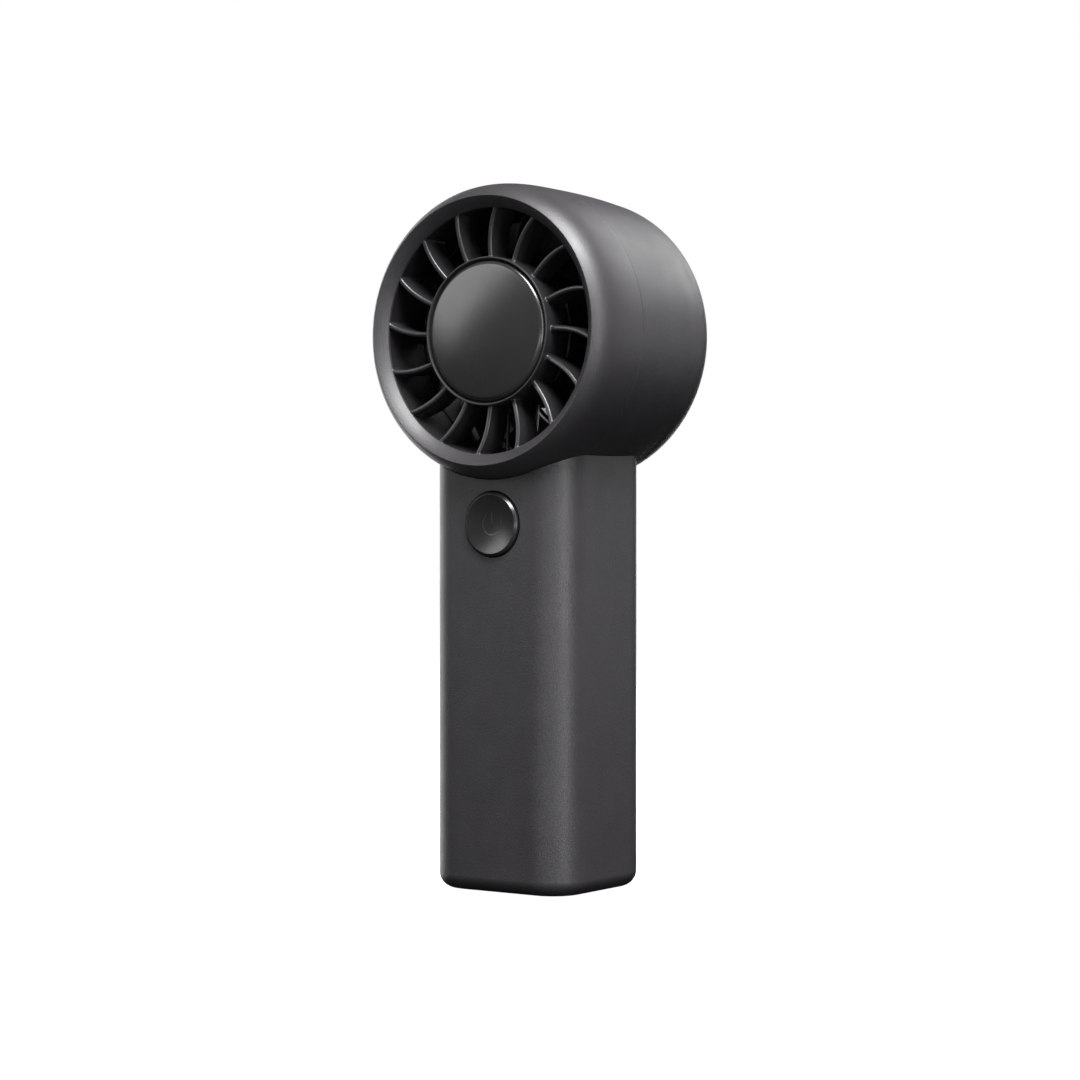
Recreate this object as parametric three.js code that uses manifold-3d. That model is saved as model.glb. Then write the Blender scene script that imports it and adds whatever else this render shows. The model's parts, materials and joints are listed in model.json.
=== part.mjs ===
// A cordless handheld fan: a ducted head on a straight battery handle, with a round push button.
// Millimetres, +Z up. The front faces -Y, and the origin is under the middle of the fan,
// on the surface that it stands on.
import * as THREE from "three";
import { mergeVertices } from "three/addons/utils/BufferGeometryUtils.js";
import Module from "manifold-3d";

const wasm = await Module();
wasm.setup();

// Head: a barrel round an axis along Y.
const AXIS_Z = 112.86;
const FRONT_Y = -22.3;
const REAR_Y = 22.3;
const HEAD_R = 30.23;
const LIP_R = 26.95;
const DUCT_R = 24.7;
const DUCT_WALL = 1.4;
const LIP_FLARE_R = 29.4;
const LIP_FLARE_Y = FRONT_Y + 2.06;
const SHOULDER_Y = FRONT_Y + 5.1;
const THROAT_Y = FRONT_Y + 2.2;
const THROAT_LAND = 0.5;
const SHELL_WALL = 2;
const PARTING_Y = -8.9;
const TAPER_START_Y = -8.2;
const TAPER_END_Y = 13;
const TAPER_R = 29.48;
const TAPER_POWER = 2.9;
const REAR_FACE_R = 22.9;
const SEAT_R = 21.6;
const SEAT_Y = 20;
const INTAKE_R = 20.4;
const INTAKE_Y = 18.6;
const BELL_Y = 12.5;
const DUCT_FRONT_Y = -7.7;
const GAP = 0.3;

// Front grille: a hub and a duct ring joined by fixed vanes.
const HUB_R = 14.93;
const HUB_RIM_Y = -20.2;
const HUB_WALL = 1.2;
const HUB_LIP = 0.65;
const HUB_LIP_DEPTH = 0.94;
const VANES = 16;
const VANE_THICK = 0.9;
const VANE_FRONT_Y = HUB_RIM_Y + 1.4;
const VANE_TIP_FORWARD = 1.3;
const VANE_REAR_Y = -13.2;
const VANE_START_DEG = 0.2;
const VANE_SWEEP_DEG = 5;
const VANE_SWEEP_POWER = 2.1;
const WEB_FRONT_Y = -14.6;
const WEB_REAR_Y = -13.2;
const CAP_R = HUB_R - HUB_LIP - 0.15;
const CAP_CROWN_Y = -21.3;
const CAP_SKIRT_DEPTH = 2.4;

// Rear grille: rings and spokes with open bands between them.
const INTAKE_GRILLE_R = 21.3;
const INTAKE_GRILLE_FRONT_Y = 20.3;
const INTAKE_GRILLE_REAR_Y = 22;
const INTAKE_SPOKES = 9;
const INTAKE_SPOKE_WIDTH = 1.2;
const INTAKE_BANDS = [[4.6, 9.2], [10.3, 14.4], [15.5, 19.9]];

// Impeller and motor, all on the head's axis.
const BLADES = 11;
const BLADE_THICK = 1;
const BLADE_TIP_R = DUCT_R - 0.7;
const BLADE_FRONT_Y = -10.9;
const BLADE_REAR_Y = 1.6;
const BLADE_TURN_DEG = 34;
const BLADE_TIP_TURN = 0.15;
const BLADE_BELLY = 0.25;
const BLADE_LEAN_DEG = 6;
const ROTOR_R = 14.6;
const ROTOR_FRONT_Y = -11.4;
const ROTOR_SHOULDER_Y = 0.5;
const ROTOR_NOSE_Y = 6.5;
const BOSS_R = 3.2;
const BOSS_FRONT_Y = 1.6;
const BOSS_REAR_Y = 4.7;
const ROTOR_BORE_R = 13.3;
const SHAFT_R = 1;
const RUNNING = 0.06;
const BEARING_R = 3;
const BEARING_WIDTH = 2.5;
const TUBE_R = 3.9;
const TUBE_END_Y = 1.2;
const FLANGE_R = 9.2;
const FLANGE_FRONT_Y = -12.9;
const FLANGE_REAR_Y = -11.7;
const CORE_R = 10.8;
const CORE_FRONT_Y = -8.6;
const CORE_REAR_Y = -3.6;
const TEETH = 6;
const TOOTH_WIDTH = 3;
const YOKE_R = 6;
const MAGNET_R = 11.2;
const CAN_R = 12.4;
const MOTOR_SCREWS = 3;
const MOTOR_SCREW_CIRCLE_R = 7.4;

// Handle: a straight sleeve of rounded rectangular section.
const HANDLE_WIDTH = 34.9;
const HANDLE_DEPTH = 32.2;
const HANDLE_CORNER_R = 8.4;
const HANDLE_MID_Y = -1.775;
const HANDLE_WALL = 1.8;
const HANDLE_FOOT_R = 3.1;
const HANDLE_FLOOR = 2.2;
const HANDLE_FRONT_Y = HANDLE_MID_Y - HANDLE_DEPTH / 2;
const HANDLE_REAR_Y = HANDLE_MID_Y + HANDLE_DEPTH / 2;
const CAVITY_WIDTH = HANDLE_WIDTH - 2 * HANDLE_WALL;
const CAVITY_DEPTH = HANDLE_DEPTH - 2 * HANDLE_WALL;
const CAVITY_CORNER_R = HANDLE_CORNER_R - HANDLE_WALL;
const BASE_WIDTH = 25.7;
const BASE_DEPTH = 23;
const BASE_CORNER_R = 4;
const BASE_LEDGE = 1.5;
const BASE_PLATE = 0.9;

// Button and switch.
const BUTTON_Z = 74.2;
const BUTTON_HOLE_R = 6.73;
const BUTTON_R = BUTTON_HOLE_R - 0.3;
const BUTTON_PROUD = 0.85;
const BUTTON_BEVEL = 0.55;
const BUTTON_DISH = 0.35;
const BUTTON_FLANGE_R = 7.4;
const SWITCH_SIZE = 6;
const PLUNGER_R = 1.6;

// Inside the handle, from the front to the back.
const BOARD_FRONT_Y = -11.3;
const BOARD_THICK = 1.2;
const FRAME_FRONT_Y = -9.8;
const FRAME_WALL = 1.5;
const FRAME_WIDTH = 25.2;
const FRAME_BOTTOM_Z = 9.2;
const FRAME_TOP_Z = 80.6;
const FRAME_FLOOR = 1.2;
const FRAME_CEILING = 1.4;
const FRAME_BOSS_R = 2.2;
const FRAME_BOSS_Z = 3.4;
const RAIL_REAR_Y = 4;
const RAIL_TOP_Z = 74;
const CELL_R = 9.2;
const CELL_LENGTH = 65;
const CELL_Y = 1.6;
const CELL_BOTTOM_Z = 11.3;
const BASE_SCREW_X = 8.75;
const BASE_SCREW_Z = 0.15;
const BASE_SCREW_LENGTH = 7.4;
const BASE_WELL_Z = 1.3;
const NECK_Z = 81.2;
const NECK_WALL = 1.5;
const NECK_BOSS_R = 2.6;
const NECK_SCREW_Z = 77.8;
const NECK_SCREW_LENGTH = 6;
const NECK_SCREW_X = 11.5;
const NECK_SCREW_Y = -4;
const SCREW_R = 1;
const SCREW_HOLE_R = 1.15;
const SCREW_HEAD_R = 1.9;
const SCREW_HEAD = 1.1;

// Charging socket in the rear wall.
const PORT_Z = 7;
const PORT_WIDTH = 9.6;
const PORT_HEIGHT = 3.8;
const SOCKET_WIDTH = 8.94;
const SOCKET_HEIGHT = 3.16;
const SOCKET_LENGTH = 7.3;
const SOCKET_WALL = 0.3;
const TONGUE_WIDTH = 6.2;
const TONGUE_THICK = 0.7;

// The lead from the board in the handle to the motor, behind the vane under the hub.
const LEAD_DROP_Y = -4;
const LEAD_R = 0.45;
const LEAD_Y = -12.4;
const CELL_LEAD_R = 0.5;

// How finely round shapes are divided.
const HEAD_SIDES = 40;
const HUB_SIDES = 24;
const ROTOR_SIDES = 2 * BLADES;
const SMALL_SIDES = 12;
const SCREW_SIDES = 8;
const LEAD_SIDES = 8;
const MERGE = 1e-4;
const CLEAN = 5e-3;

const toRadians = THREE.MathUtils.degToRad;

// ---- Solids: three.js geometries joined and cut by manifold-3d ----

function toSolid(geometry) {
  const loose = geometry.index ? geometry.toNonIndexed() : geometry;
  const bare = new THREE.BufferGeometry();
  bare.setAttribute("position", loose.getAttribute("position"));
  const merged = mergeVertices(bare, MERGE);
  const corners = merged.index.array;
  const kept = [];
  for (let i = 0; i < corners.length; i += 3) {
    const [a, b, c] = corners.slice(i, i + 3);
    if (a !== b && b !== c && c !== a) kept.push(a, b, c);
  }
  const triVerts = new Uint32Array(kept);
  const vertProperties = merged.attributes.position.array;
  return new wasm.Manifold(new wasm.Mesh({ numProp: 3, vertProperties, triVerts }));
}

function toGeometry(solid) {
  const mesh = solid.simplify(CLEAN).getMesh();
  const geometry = new THREE.BufferGeometry();
  geometry.setAttribute("position", new THREE.BufferAttribute(mesh.vertProperties, 3));
  geometry.setIndex(new THREE.BufferAttribute(mesh.triVerts, 1));
  return geometry;
}

function join(...geometries) {
  return toGeometry(geometries.map(toSolid).reduce((a, b) => a.add(b)));
}

function cut(geometry, ...tools) {
  return toGeometry(tools.map(toSolid).reduce((a, b) => a.subtract(b), toSolid(geometry)));
}

function common(a, b) {
  return toGeometry(toSolid(a).intersect(toSolid(b)));
}

// ---- Basic shapes, each placed in the fan's own frame ----

// A closed profile of [radius, height] pairs turned about Y.
function turned(profile, sides) {
  const points = profile.map(([radius, height]) => new THREE.Vector2(radius, height));
  if (THREE.ShapeUtils.area(points) < 0) points.reverse();
  const onAxis = points.filter((p) => p.x === 0).length;
  if (onAxis === 0) points.push(points[0].clone());
  while (onAxis > 0 && points[0].x !== 0) points.push(points.shift());
  while (onAxis > 1 && points[points.length - 1].x !== 0) points.unshift(points.pop());
  return new THREE.LatheGeometry(points, sides);
}

function turnedOnHead(profile, sides) {
  return turned(profile, sides).translate(0, 0, AXIS_Z);
}

function turnedUpright(profile, sides, x, y) {
  return turned(profile, sides).rotateX(Math.PI / 2).translate(x, y, 0);
}

function tube(inner, outer, low, high) {
  return [[inner, low], [outer, low], [outer, high], [inner, high]];
}

function rod(radius, low, high) {
  return tube(0, radius, low, high);
}

function box([x0, x1], [y0, y1], [z0, z1]) {
  const block = new THREE.BoxGeometry(x1 - x0, y1 - y0, z1 - z0);
  return block.translate((x0 + x1) / 2, (y0 + y1) / 2, (z0 + z1) / 2);
}

function roundedRectangle(width, height, radius) {
  const x = width / 2 - radius;
  const y = height / 2 - radius;
  const shape = new THREE.Shape();
  shape.absarc(x, y, radius, 0, Math.PI / 2);
  shape.absarc(-x, y, radius, Math.PI / 2, Math.PI);
  shape.absarc(-x, -y, radius, Math.PI, Math.PI * 1.5);
  shape.absarc(x, -y, radius, Math.PI * 1.5, Math.PI * 2);
  return shape;
}

// A rounded rectangular column centred on the handle.
function column(width, depth, radius, low, high, curveSegments = 3) {
  const shape = roundedRectangle(width, depth, radius);
  const made = new THREE.ExtrudeGeometry(shape, {
    depth: high - low,
    bevelEnabled: false,
    curveSegments,
  });
  return made.translate(0, HANDLE_MID_Y, low);
}

// A rounded rectangular bar along Y, centred on x = 0 at height z.
function barAlongY(width, height, radius, front, rear, z) {
  const shape = roundedRectangle(width, height, radius);
  const made = new THREE.ExtrudeGeometry(shape, {
    depth: rear - front,
    bevelEnabled: false,
    curveSegments: 3,
  });
  return made.rotateX(-Math.PI / 2).translate(0, front, z);
}

// A closed skin over a row of sections that have the same number of points.
function loft(sections) {
  const count = sections[0].length;
  const corners = [];
  for (let s = 0; s + 1 < sections.length; s += 1) {
    for (let i = 0; i < count; i += 1) {
      const j = (i + 1) % count;
      const [a, b] = [sections[s][i], sections[s][j]];
      const [c, d] = [sections[s + 1][i], sections[s + 1][j]];
      corners.push(a, d, b, a, c, d);
    }
  }
  const [first, last] = [sections[0], sections[sections.length - 1]];
  for (let i = 1; i + 1 < count; i += 1) {
    corners.push(first[0], first[i], first[i + 1]);
    corners.push(last[0], last[i + 1], last[i]);
  }
  return new THREE.BufferGeometry().setFromPoints(corners);
}

// A vane or blade section on the cylinder of one radius: a rounded strip along a path of [angle, y].
function strip(radius, path, thick) {
  const half = thick / 2 / radius;
  const last = path.length - 1;
  const left = path.map(([angle, y], i) => [angle - half * (i === 0 || i === last ? 0.5 : 1), y]);
  const right = path.map(([angle, y], i) => [angle + half * (i === 0 || i === last ? 0.5 : 1), y]);
  return [...left, ...right.reverse()].map(
    ([angle, y]) => new THREE.Vector3(radius * Math.sin(angle), y, radius * Math.cos(angle)),
  );
}

function aroundY(geometry, angle) {
  return geometry.clone().rotateY(angle);
}

function lead(points, radius) {
  const path = new THREE.CatmullRomCurve3(points.map((p) => new THREE.Vector3(...p)));
  const section = new THREE.Shape();
  section.absarc(0, 0, radius, 0, Math.PI * 2);
  return new THREE.ExtrudeGeometry(section, {
    steps: Math.ceil(path.getLength() / (5 * radius)),
    curveSegments: LEAD_SIDES / 2,
    extrudePath: path,
  });
}

// ---- The head's outline ----

// Radius and y of the barrel's outer skin, from the lip to the rear face.
function barrelOutline() {
  const front = new THREE.CubicBezierCurve(
    new THREE.Vector2(LIP_R, FRONT_Y),
    new THREE.Vector2(LIP_FLARE_R, LIP_FLARE_Y),
    new THREE.Vector2(HEAD_R, SHOULDER_Y),
    new THREE.Vector2(HEAD_R, TAPER_START_Y - 1),
  );
  const points = front.getPoints(4).map((p) => [p.x, p.y]);
  const tapers = 2;
  for (let i = 0; i <= tapers; i += 1) {
    const share = i / tapers;
    const y = THREE.MathUtils.lerp(TAPER_START_Y, TAPER_END_Y, share);
    points.push([HEAD_R - (HEAD_R - TAPER_R) * share ** TAPER_POWER, y]);
  }
  const turns = 4;
  for (let i = 1; i <= turns; i += 1) {
    const angle = (i / turns) * (Math.PI / 2);
    const radius = REAR_FACE_R + (TAPER_R - REAR_FACE_R) * Math.cos(angle);
    points.push([radius, TAPER_END_Y + (REAR_Y - TAPER_END_Y) * Math.sin(angle)]);
  }
  return points;
}

function barrelBetween(low, high) {
  return barrelOutline().filter(([, y]) => y > low && y < high);
}

function barrelRadiusAt(y) {
  const outline = barrelOutline();
  const next = outline.findIndex((p) => p[1] >= y);
  const [a, b] = [outline[next - 1], outline[next]];
  return THREE.MathUtils.mapLinear(y, a[1], b[1], a[0], b[0]);
}

// The space that the handle keeps clear for the head.
function headEnvelope() {
  const skin = barrelOutline().map(([radius, y]) => [radius + GAP, y]);
  return turnedOnHead([[0, FRONT_Y], ...skin, [0, REAR_Y]], HEAD_SIDES);
}

// ---- Head shells and grilles ----

function frontBezel() {
  const end = PARTING_Y - GAP / 2;
  const inner = HEAD_R - SHELL_WALL;
  return turnedOnHead(
    [
      ...barrelBetween(FRONT_Y - 1, end),
      [barrelRadiusAt(end), end],
      [inner, end],
      [inner, THROAT_Y + 2.6],
      [DUCT_R + DUCT_WALL + 0.4, THROAT_Y + THROAT_LAND],
      [DUCT_R, THROAT_Y + THROAT_LAND],
      [DUCT_R, THROAT_Y],
    ],
    HEAD_SIDES,
  );
}

// Two walls round a wire space, closed at the back, with a seat for the rear grille.
function rearBarrel() {
  const start = PARTING_Y + GAP / 2;
  return turnedOnHead(
    [
      [barrelRadiusAt(start), start],
      ...barrelBetween(start, REAR_Y + 1),
      [SEAT_R, REAR_Y],
      [SEAT_R, SEAT_Y],
      [INTAKE_R, SEAT_Y],
      [INTAKE_R, INTAKE_Y],
      [DUCT_R, BELL_Y],
      [DUCT_R, DUCT_FRONT_Y],
      [DUCT_R + DUCT_WALL, DUCT_FRONT_Y],
      [DUCT_R + DUCT_WALL, BELL_Y + 0.4],
      [SEAT_R + 1.3, INTAKE_Y],
      [SEAT_R + 3, SEAT_Y - 0.6],
      [SEAT_R + 4.7, INTAKE_Y - 1],
      [TAPER_R - SHELL_WALL, TAPER_END_Y],
      [HEAD_R - SHELL_WALL, 2],
      [HEAD_R - SHELL_WALL, start],
    ],
    HEAD_SIDES,
  );
}

// The neck hangs under the barrel and stands inside the top of the sleeve.
function rearShell() {
  const play = GAP + 0.05;
  const outside = column(
    CAVITY_WIDTH - 2 * play,
    CAVITY_DEPTH - 2 * play,
    CAVITY_CORNER_R - play,
    NECK_Z,
    AXIS_Z,
  );
  const thin = play + NECK_WALL;
  const inside = column(
    CAVITY_WIDTH - 2 * thin,
    CAVITY_DEPTH - 2 * thin,
    CAVITY_CORNER_R - thin,
    NECK_Z - 1,
    AXIS_Z + 1,
  );
  const ahead = box([-20, 20], [-30, PARTING_Y + 0.6], [70, AXIS_Z + 1]);
  const bosses = [-1, 1].map((side) =>
    turnedUpright(rod(NECK_BOSS_R, NECK_Z, AXIS_Z - 22), SMALL_SIDES, side * NECK_SCREW_X, NECK_SCREW_Y),
  );
  const hull = turnedOnHead(rod(HEAD_R - 1, PARTING_Y, 12), HEAD_SIDES);
  const neck = cut(join(cut(outside, inside), ...bosses), ahead, hull);
  const screwHoles = [-1, 1].map((side) =>
    turnedUpright(rod(SCREW_HOLE_R, NECK_Z - 1, 84.6), SCREW_SIDES, side * NECK_SCREW_X, NECK_SCREW_Y),
  );
  const leadHole = turnedUpright(rod(1.4, 78, 86), SMALL_SIDES, 0, LEAD_DROP_Y);
  return cut(join(rearBarrel(), neck), ...screwHoles, leadHole);
}

function vaneAngle(radius) {
  const share = Math.max(0, (radius - HUB_R) / (DUCT_R - HUB_R));
  return toRadians(VANE_START_DEG + VANE_SWEEP_DEG * share ** VANE_SWEEP_POWER);
}

function vane() {
  const middle = (HUB_R + DUCT_R) / 2;
  const sections = [HUB_R - 0.5, middle, DUCT_R - 0.35, DUCT_R + 0.4].map((radius) => {
    const share = THREE.MathUtils.clamp((radius - HUB_R) / (DUCT_R - HUB_R), 0, 1);
    const inRing = radius > DUCT_R;
    const front = inRing ? VANE_FRONT_Y : VANE_FRONT_Y - VANE_TIP_FORWARD * share;
    const angle = vaneAngle(radius);
    return strip(radius, [[angle, front], [angle, front + 0.5], [angle, VANE_REAR_Y]], VANE_THICK);
  });
  return loft(sections);
}

function motorScrewAngles() {
  return Array.from({ length: MOTOR_SCREWS }, (_, i) => (i * 2 * Math.PI) / MOTOR_SCREWS);
}

function onMotorCircle(profile, sides, angle) {
  const x = MOTOR_SCREW_CIRCLE_R * Math.sin(angle);
  const z = MOTOR_SCREW_CIRCLE_R * Math.cos(angle);
  return turned(profile, sides).translate(x, 0, AXIS_Z + z);
}

function frontGrille() {
  const inner = HUB_R - HUB_WALL;
  const hub = turned(
    [
      [0, WEB_FRONT_Y],
      [inner, WEB_FRONT_Y],
      [inner, HUB_RIM_Y + HUB_LIP_DEPTH + 1],
      [HUB_R - HUB_LIP, HUB_RIM_Y + HUB_LIP_DEPTH + 0.6],
      [HUB_R - HUB_LIP, HUB_RIM_Y + HUB_LIP_DEPTH],
      [HUB_R, HUB_RIM_Y],
      [HUB_R, WEB_REAR_Y],
      [0, WEB_REAR_Y],
    ],
    HUB_SIDES,
  );
  const ring = turned(tube(DUCT_R, DUCT_R + DUCT_WALL, THROAT_Y + 0.8, -8), HEAD_SIDES);
  const one = vane();
  const vanes = Array.from({ length: VANES }, (_, i) => aroundY(one, (i * 2 * Math.PI) / VANES));
  const holes = motorScrewAngles().map((angle) =>
    onMotorCircle(rod(SCREW_HOLE_R, WEB_FRONT_Y - 1, WEB_REAR_Y + 1), SCREW_SIDES, angle),
  );
  const leadHole = turnedUpright(rod(1.1, AXIS_Z - 28, AXIS_Z - 23), SCREW_SIDES, 0, LEAD_Y + 0.2);
  return cut(join(hub, ring, ...vanes).translate(0, 0, AXIS_Z), ...holes, leadHole);
}

function hubCap() {
  const edge = HUB_RIM_Y + HUB_LIP_DEPTH;
  const crown = [0, 0.35, 0.6, 0.8, 0.94].map((share) => {
    const drop = (edge - 0.25 - CAP_CROWN_Y) * (1 - Math.sqrt(1 - 0.93 * share ** 2));
    return [CAP_R * share, CAP_CROWN_Y + drop];
  });
  const skirt = HUB_R - HUB_WALL - 0.4;
  return turnedOnHead(
    [...crown, [CAP_R, edge], [CAP_R, edge + 0.4], [skirt, edge + 0.8], [skirt, edge + CAP_SKIRT_DEPTH],
      [skirt - 1, edge + CAP_SKIRT_DEPTH], [skirt - 1, edge + 0.9], [0, edge - 0.3]],
    HUB_SIDES,
  );
}

// A flat grille of rings and spokes.
function rearGrille() {
  const disc = new THREE.Shape();
  const half = INTAKE_SPOKE_WIDTH / 2;
  for (let i = 0; i < INTAKE_SPOKES; i += 1) {
    const start = (i * 2 * Math.PI) / INTAKE_SPOKES;
    const end = ((i + 1) * 2 * Math.PI) / INTAKE_SPOKES;
    disc.absarc(0, 0, INTAKE_GRILLE_R, start, end);
    for (const [inner, outer] of INTAKE_BANDS) {
      const hole = new THREE.Path();
      hole.absarc(0, 0, outer, start + half / outer, end - half / outer, false);
      hole.absarc(0, 0, inner, end - half / inner, start + half / inner, true);
      disc.holes.push(hole);
    }
  }
  const made = new THREE.ExtrudeGeometry(disc, {
    depth: INTAKE_GRILLE_REAR_Y - INTAKE_GRILLE_FRONT_Y,
    bevelEnabled: false,
    curveSegments: 2,
  });
  return made.rotateX(-Math.PI / 2).translate(0, INTAKE_GRILLE_FRONT_Y, AXIS_Z);
}

// ---- Impeller and motor ----

function blade() {
  const middle = (ROTOR_R + BLADE_TIP_R) / 2;
  const sections = [ROTOR_R - 0.5, middle, BLADE_TIP_R].map((radius) => {
    const share = (radius - ROTOR_R) / (BLADE_TIP_R - ROTOR_R);
    const turn = toRadians(BLADE_TURN_DEG) * (1 + BLADE_TIP_TURN * share);
    const lean = toRadians(BLADE_LEAN_DEG) * share;
    const path = [0, 0.3, 0.7, 1].map((along) => {
      const y = THREE.MathUtils.lerp(BLADE_FRONT_Y, BLADE_REAR_Y, along);
      return [lean + turn * (along - BLADE_BELLY * Math.sin(Math.PI * along)), y];
    });
    return strip(radius, path, BLADE_THICK);
  });
  return loft(sections);
}

function impeller() {
  const nose = [];
  for (let i = 0; i <= 4; i += 1) {
    const angle = (i / 4) * (Math.PI / 2);
    const rise = (ROTOR_NOSE_Y - ROTOR_SHOULDER_Y) * Math.sin(angle);
    nose.push([ROTOR_R * Math.cos(angle), ROTOR_SHOULDER_Y + rise]);
  }
  nose[4][0] = 0;
  const hub = turned(
    [
      [0, BOSS_REAR_Y],
      [SHAFT_R + 0.05, BOSS_REAR_Y],
      [SHAFT_R + 0.05, BOSS_FRONT_Y],
      [BOSS_R, BOSS_FRONT_Y],
      [BOSS_R, BOSS_FRONT_Y + 2],
      [8.5, 3],
      [ROTOR_BORE_R, -0.4],
      [ROTOR_BORE_R, ROTOR_FRONT_Y],
      [ROTOR_R, ROTOR_FRONT_Y],
      ...nose,
    ],
    ROTOR_SIDES,
  );
  const one = blade();
  const blades = Array.from({ length: BLADES }, (_, i) => aroundY(one, (i * 2 * Math.PI) / BLADES));
  return join(hub, ...blades).translate(0, 0, AXIS_Z);
}

function motorBase() {
  const [front, rear] = [FLANGE_FRONT_Y, FLANGE_REAR_Y];
  const bore = BEARING_R + 0.05;
  const flanged = turnedOnHead(
    [
      [bore, front],
      [FLANGE_R, front],
      [FLANGE_R, rear],
      [TUBE_R, rear],
      [TUBE_R, TUBE_END_Y],
      [bore, TUBE_END_Y],
    ],
    SMALL_SIDES,
  );
  const holes = motorScrewAngles().map((angle) =>
    onMotorCircle(rod(SCREW_HOLE_R, front - 1, rear + 1), SCREW_SIDES, angle),
  );
  const notch = box([-1, 1], [front - 1, rear + 1], [AXIS_Z - 10, AXIS_Z - 6.6]);
  return cut(flanged, ...holes, notch);
}

function motorScrew(angle) {
  const top = WEB_FRONT_Y - 0.3;
  const profile = [
    [0, top - SCREW_HEAD],
    [SCREW_HEAD_R, top - SCREW_HEAD],
    [SCREW_HEAD_R, top],
    [SCREW_R, top],
    [SCREW_R, -12],
    [0, -12],
  ];
  return onMotorCircle(profile, SCREW_SIDES, angle);
}

function motorBoard() {
  return turnedOnHead(tube(TUBE_R + GAP, FLANGE_R, FLANGE_REAR_Y + GAP, -10.4), SMALL_SIDES);
}

function bearing(front) {
  return turnedOnHead(tube(SHAFT_R + RUNNING, BEARING_R, front, front + BEARING_WIDTH), SMALL_SIDES);
}

function statorCore() {
  const yoke = turned(tube(TUBE_R + GAP, YOKE_R, CORE_FRONT_Y, CORE_REAR_Y), SMALL_SIDES);
  const shoe = turned(tube(CORE_R - 1, CORE_R, CORE_FRONT_Y, CORE_REAR_Y), HUB_SIDES);
  const slot = box([-1, 1], [CORE_FRONT_Y - 1, CORE_REAR_Y + 1], [CORE_R - 2, CORE_R + 1]);
  const arm = box([-1.1, 1.1], [CORE_FRONT_Y, CORE_REAR_Y], [YOKE_R - 1, CORE_R - 0.5]);
  const pitch = (2 * Math.PI) / TEETH;
  const arms = Array.from({ length: TEETH }, (_, i) => aroundY(arm, i * pitch));
  const slots = Array.from({ length: TEETH }, (_, i) => aroundY(slot, (i + 0.5) * pitch));
  return join(yoke, cut(shoe, ...slots), ...arms).translate(0, 0, AXIS_Z);
}

// A wound coil as a closed block round one tooth of the core.
function coil(index) {
  const wide = TOOTH_WIDTH / 2 + 0.6;
  const outer = box([-wide, wide], [CORE_FRONT_Y - 1, CORE_REAR_Y + 1], [YOKE_R + 0.6, CORE_R - 1.5]);
  const opening = box([-1.4, 1.4], [CORE_FRONT_Y - 0.3, CORE_REAR_Y + 0.3], [YOKE_R - 1, CORE_R]);
  return aroundY(cut(outer, opening), (index * 2 * Math.PI) / TEETH).translate(0, 0, AXIS_Z);
}

// ---- Handle ----

function sleeve() {
  const flat = HANDLE_FOOT_R;
  const shape = roundedRectangle(
    HANDLE_WIDTH - 2 * flat,
    HANDLE_DEPTH - 2 * flat,
    HANDLE_CORNER_R - flat,
  );
  const outside = new THREE.ExtrudeGeometry(shape, {
    depth: AXIS_Z - flat,
    bevelEnabled: true,
    bevelThickness: flat,
    bevelSize: flat,
    bevelSegments: 4,
    curveSegments: 4,
  }).translate(0, HANDLE_MID_Y, flat);
  const inside = column(CAVITY_WIDTH, CAVITY_DEPTH, CAVITY_CORNER_R, HANDLE_FLOOR, AXIS_Z + 5, 4);
  const seat = column(BASE_WIDTH + 0.6, BASE_DEPTH + 0.6, BASE_CORNER_R + 0.3, -1, BASE_PLATE + GAP);
  const opening = column(
    BASE_WIDTH - 2 * BASE_LEDGE,
    BASE_DEPTH - 2 * BASE_LEDGE,
    BASE_CORNER_R - BASE_LEDGE,
    -1,
    HANDLE_FLOOR + 1,
  );
  const buttonHole = turned(rod(BUTTON_HOLE_R, HANDLE_FRONT_Y - 1, HANDLE_FRONT_Y + 4), HUB_SIDES);
  const port = barAlongY(PORT_WIDTH, PORT_HEIGHT, 1.8, HANDLE_REAR_Y - 4, HANDLE_REAR_Y + 1, PORT_Z);
  const above = box([-30, 30], [-30, 30], [AXIS_Z - 10, AXIS_Z + 10]);
  return cut(
    outside,
    inside,
    seat,
    opening,
    buttonHole.translate(0, 0, BUTTON_Z),
    port,
    headEnvelope(),
    above,
  );
}

function baseCap() {
  const plate = column(BASE_WIDTH, BASE_DEPTH, BASE_CORNER_R, 0, BASE_PLATE);
  const inset = BASE_LEDGE + GAP;
  const plug = column(
    BASE_WIDTH - 2 * inset,
    BASE_DEPTH - 2 * inset,
    BASE_CORNER_R - inset,
    0,
    HANDLE_FLOOR,
  );
  const holes = [-1, 1].flatMap((side) => [
    turnedUpright(rod(SCREW_HOLE_R, -1, 4), SCREW_SIDES, side * BASE_SCREW_X, HANDLE_MID_Y),
    turnedUpright(
      rod(SCREW_HEAD_R + 0.2, -1, BASE_WELL_Z),
      SMALL_SIDES,
      side * BASE_SCREW_X,
      HANDLE_MID_Y,
    ),
  ]);
  return cut(join(plate, plug), ...holes);
}

// An upright screw with its head at the bottom.
function uprightScrew(x, y, headZ, length) {
  const profile = [
    [0, headZ],
    [SCREW_HEAD_R, headZ],
    [SCREW_HEAD_R, headZ + SCREW_HEAD],
    [SCREW_R, headZ + SCREW_HEAD],
    [SCREW_R, headZ + length],
    [0, headZ + length],
  ];
  return turnedUpright(profile, SCREW_SIDES, x, y);
}

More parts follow.
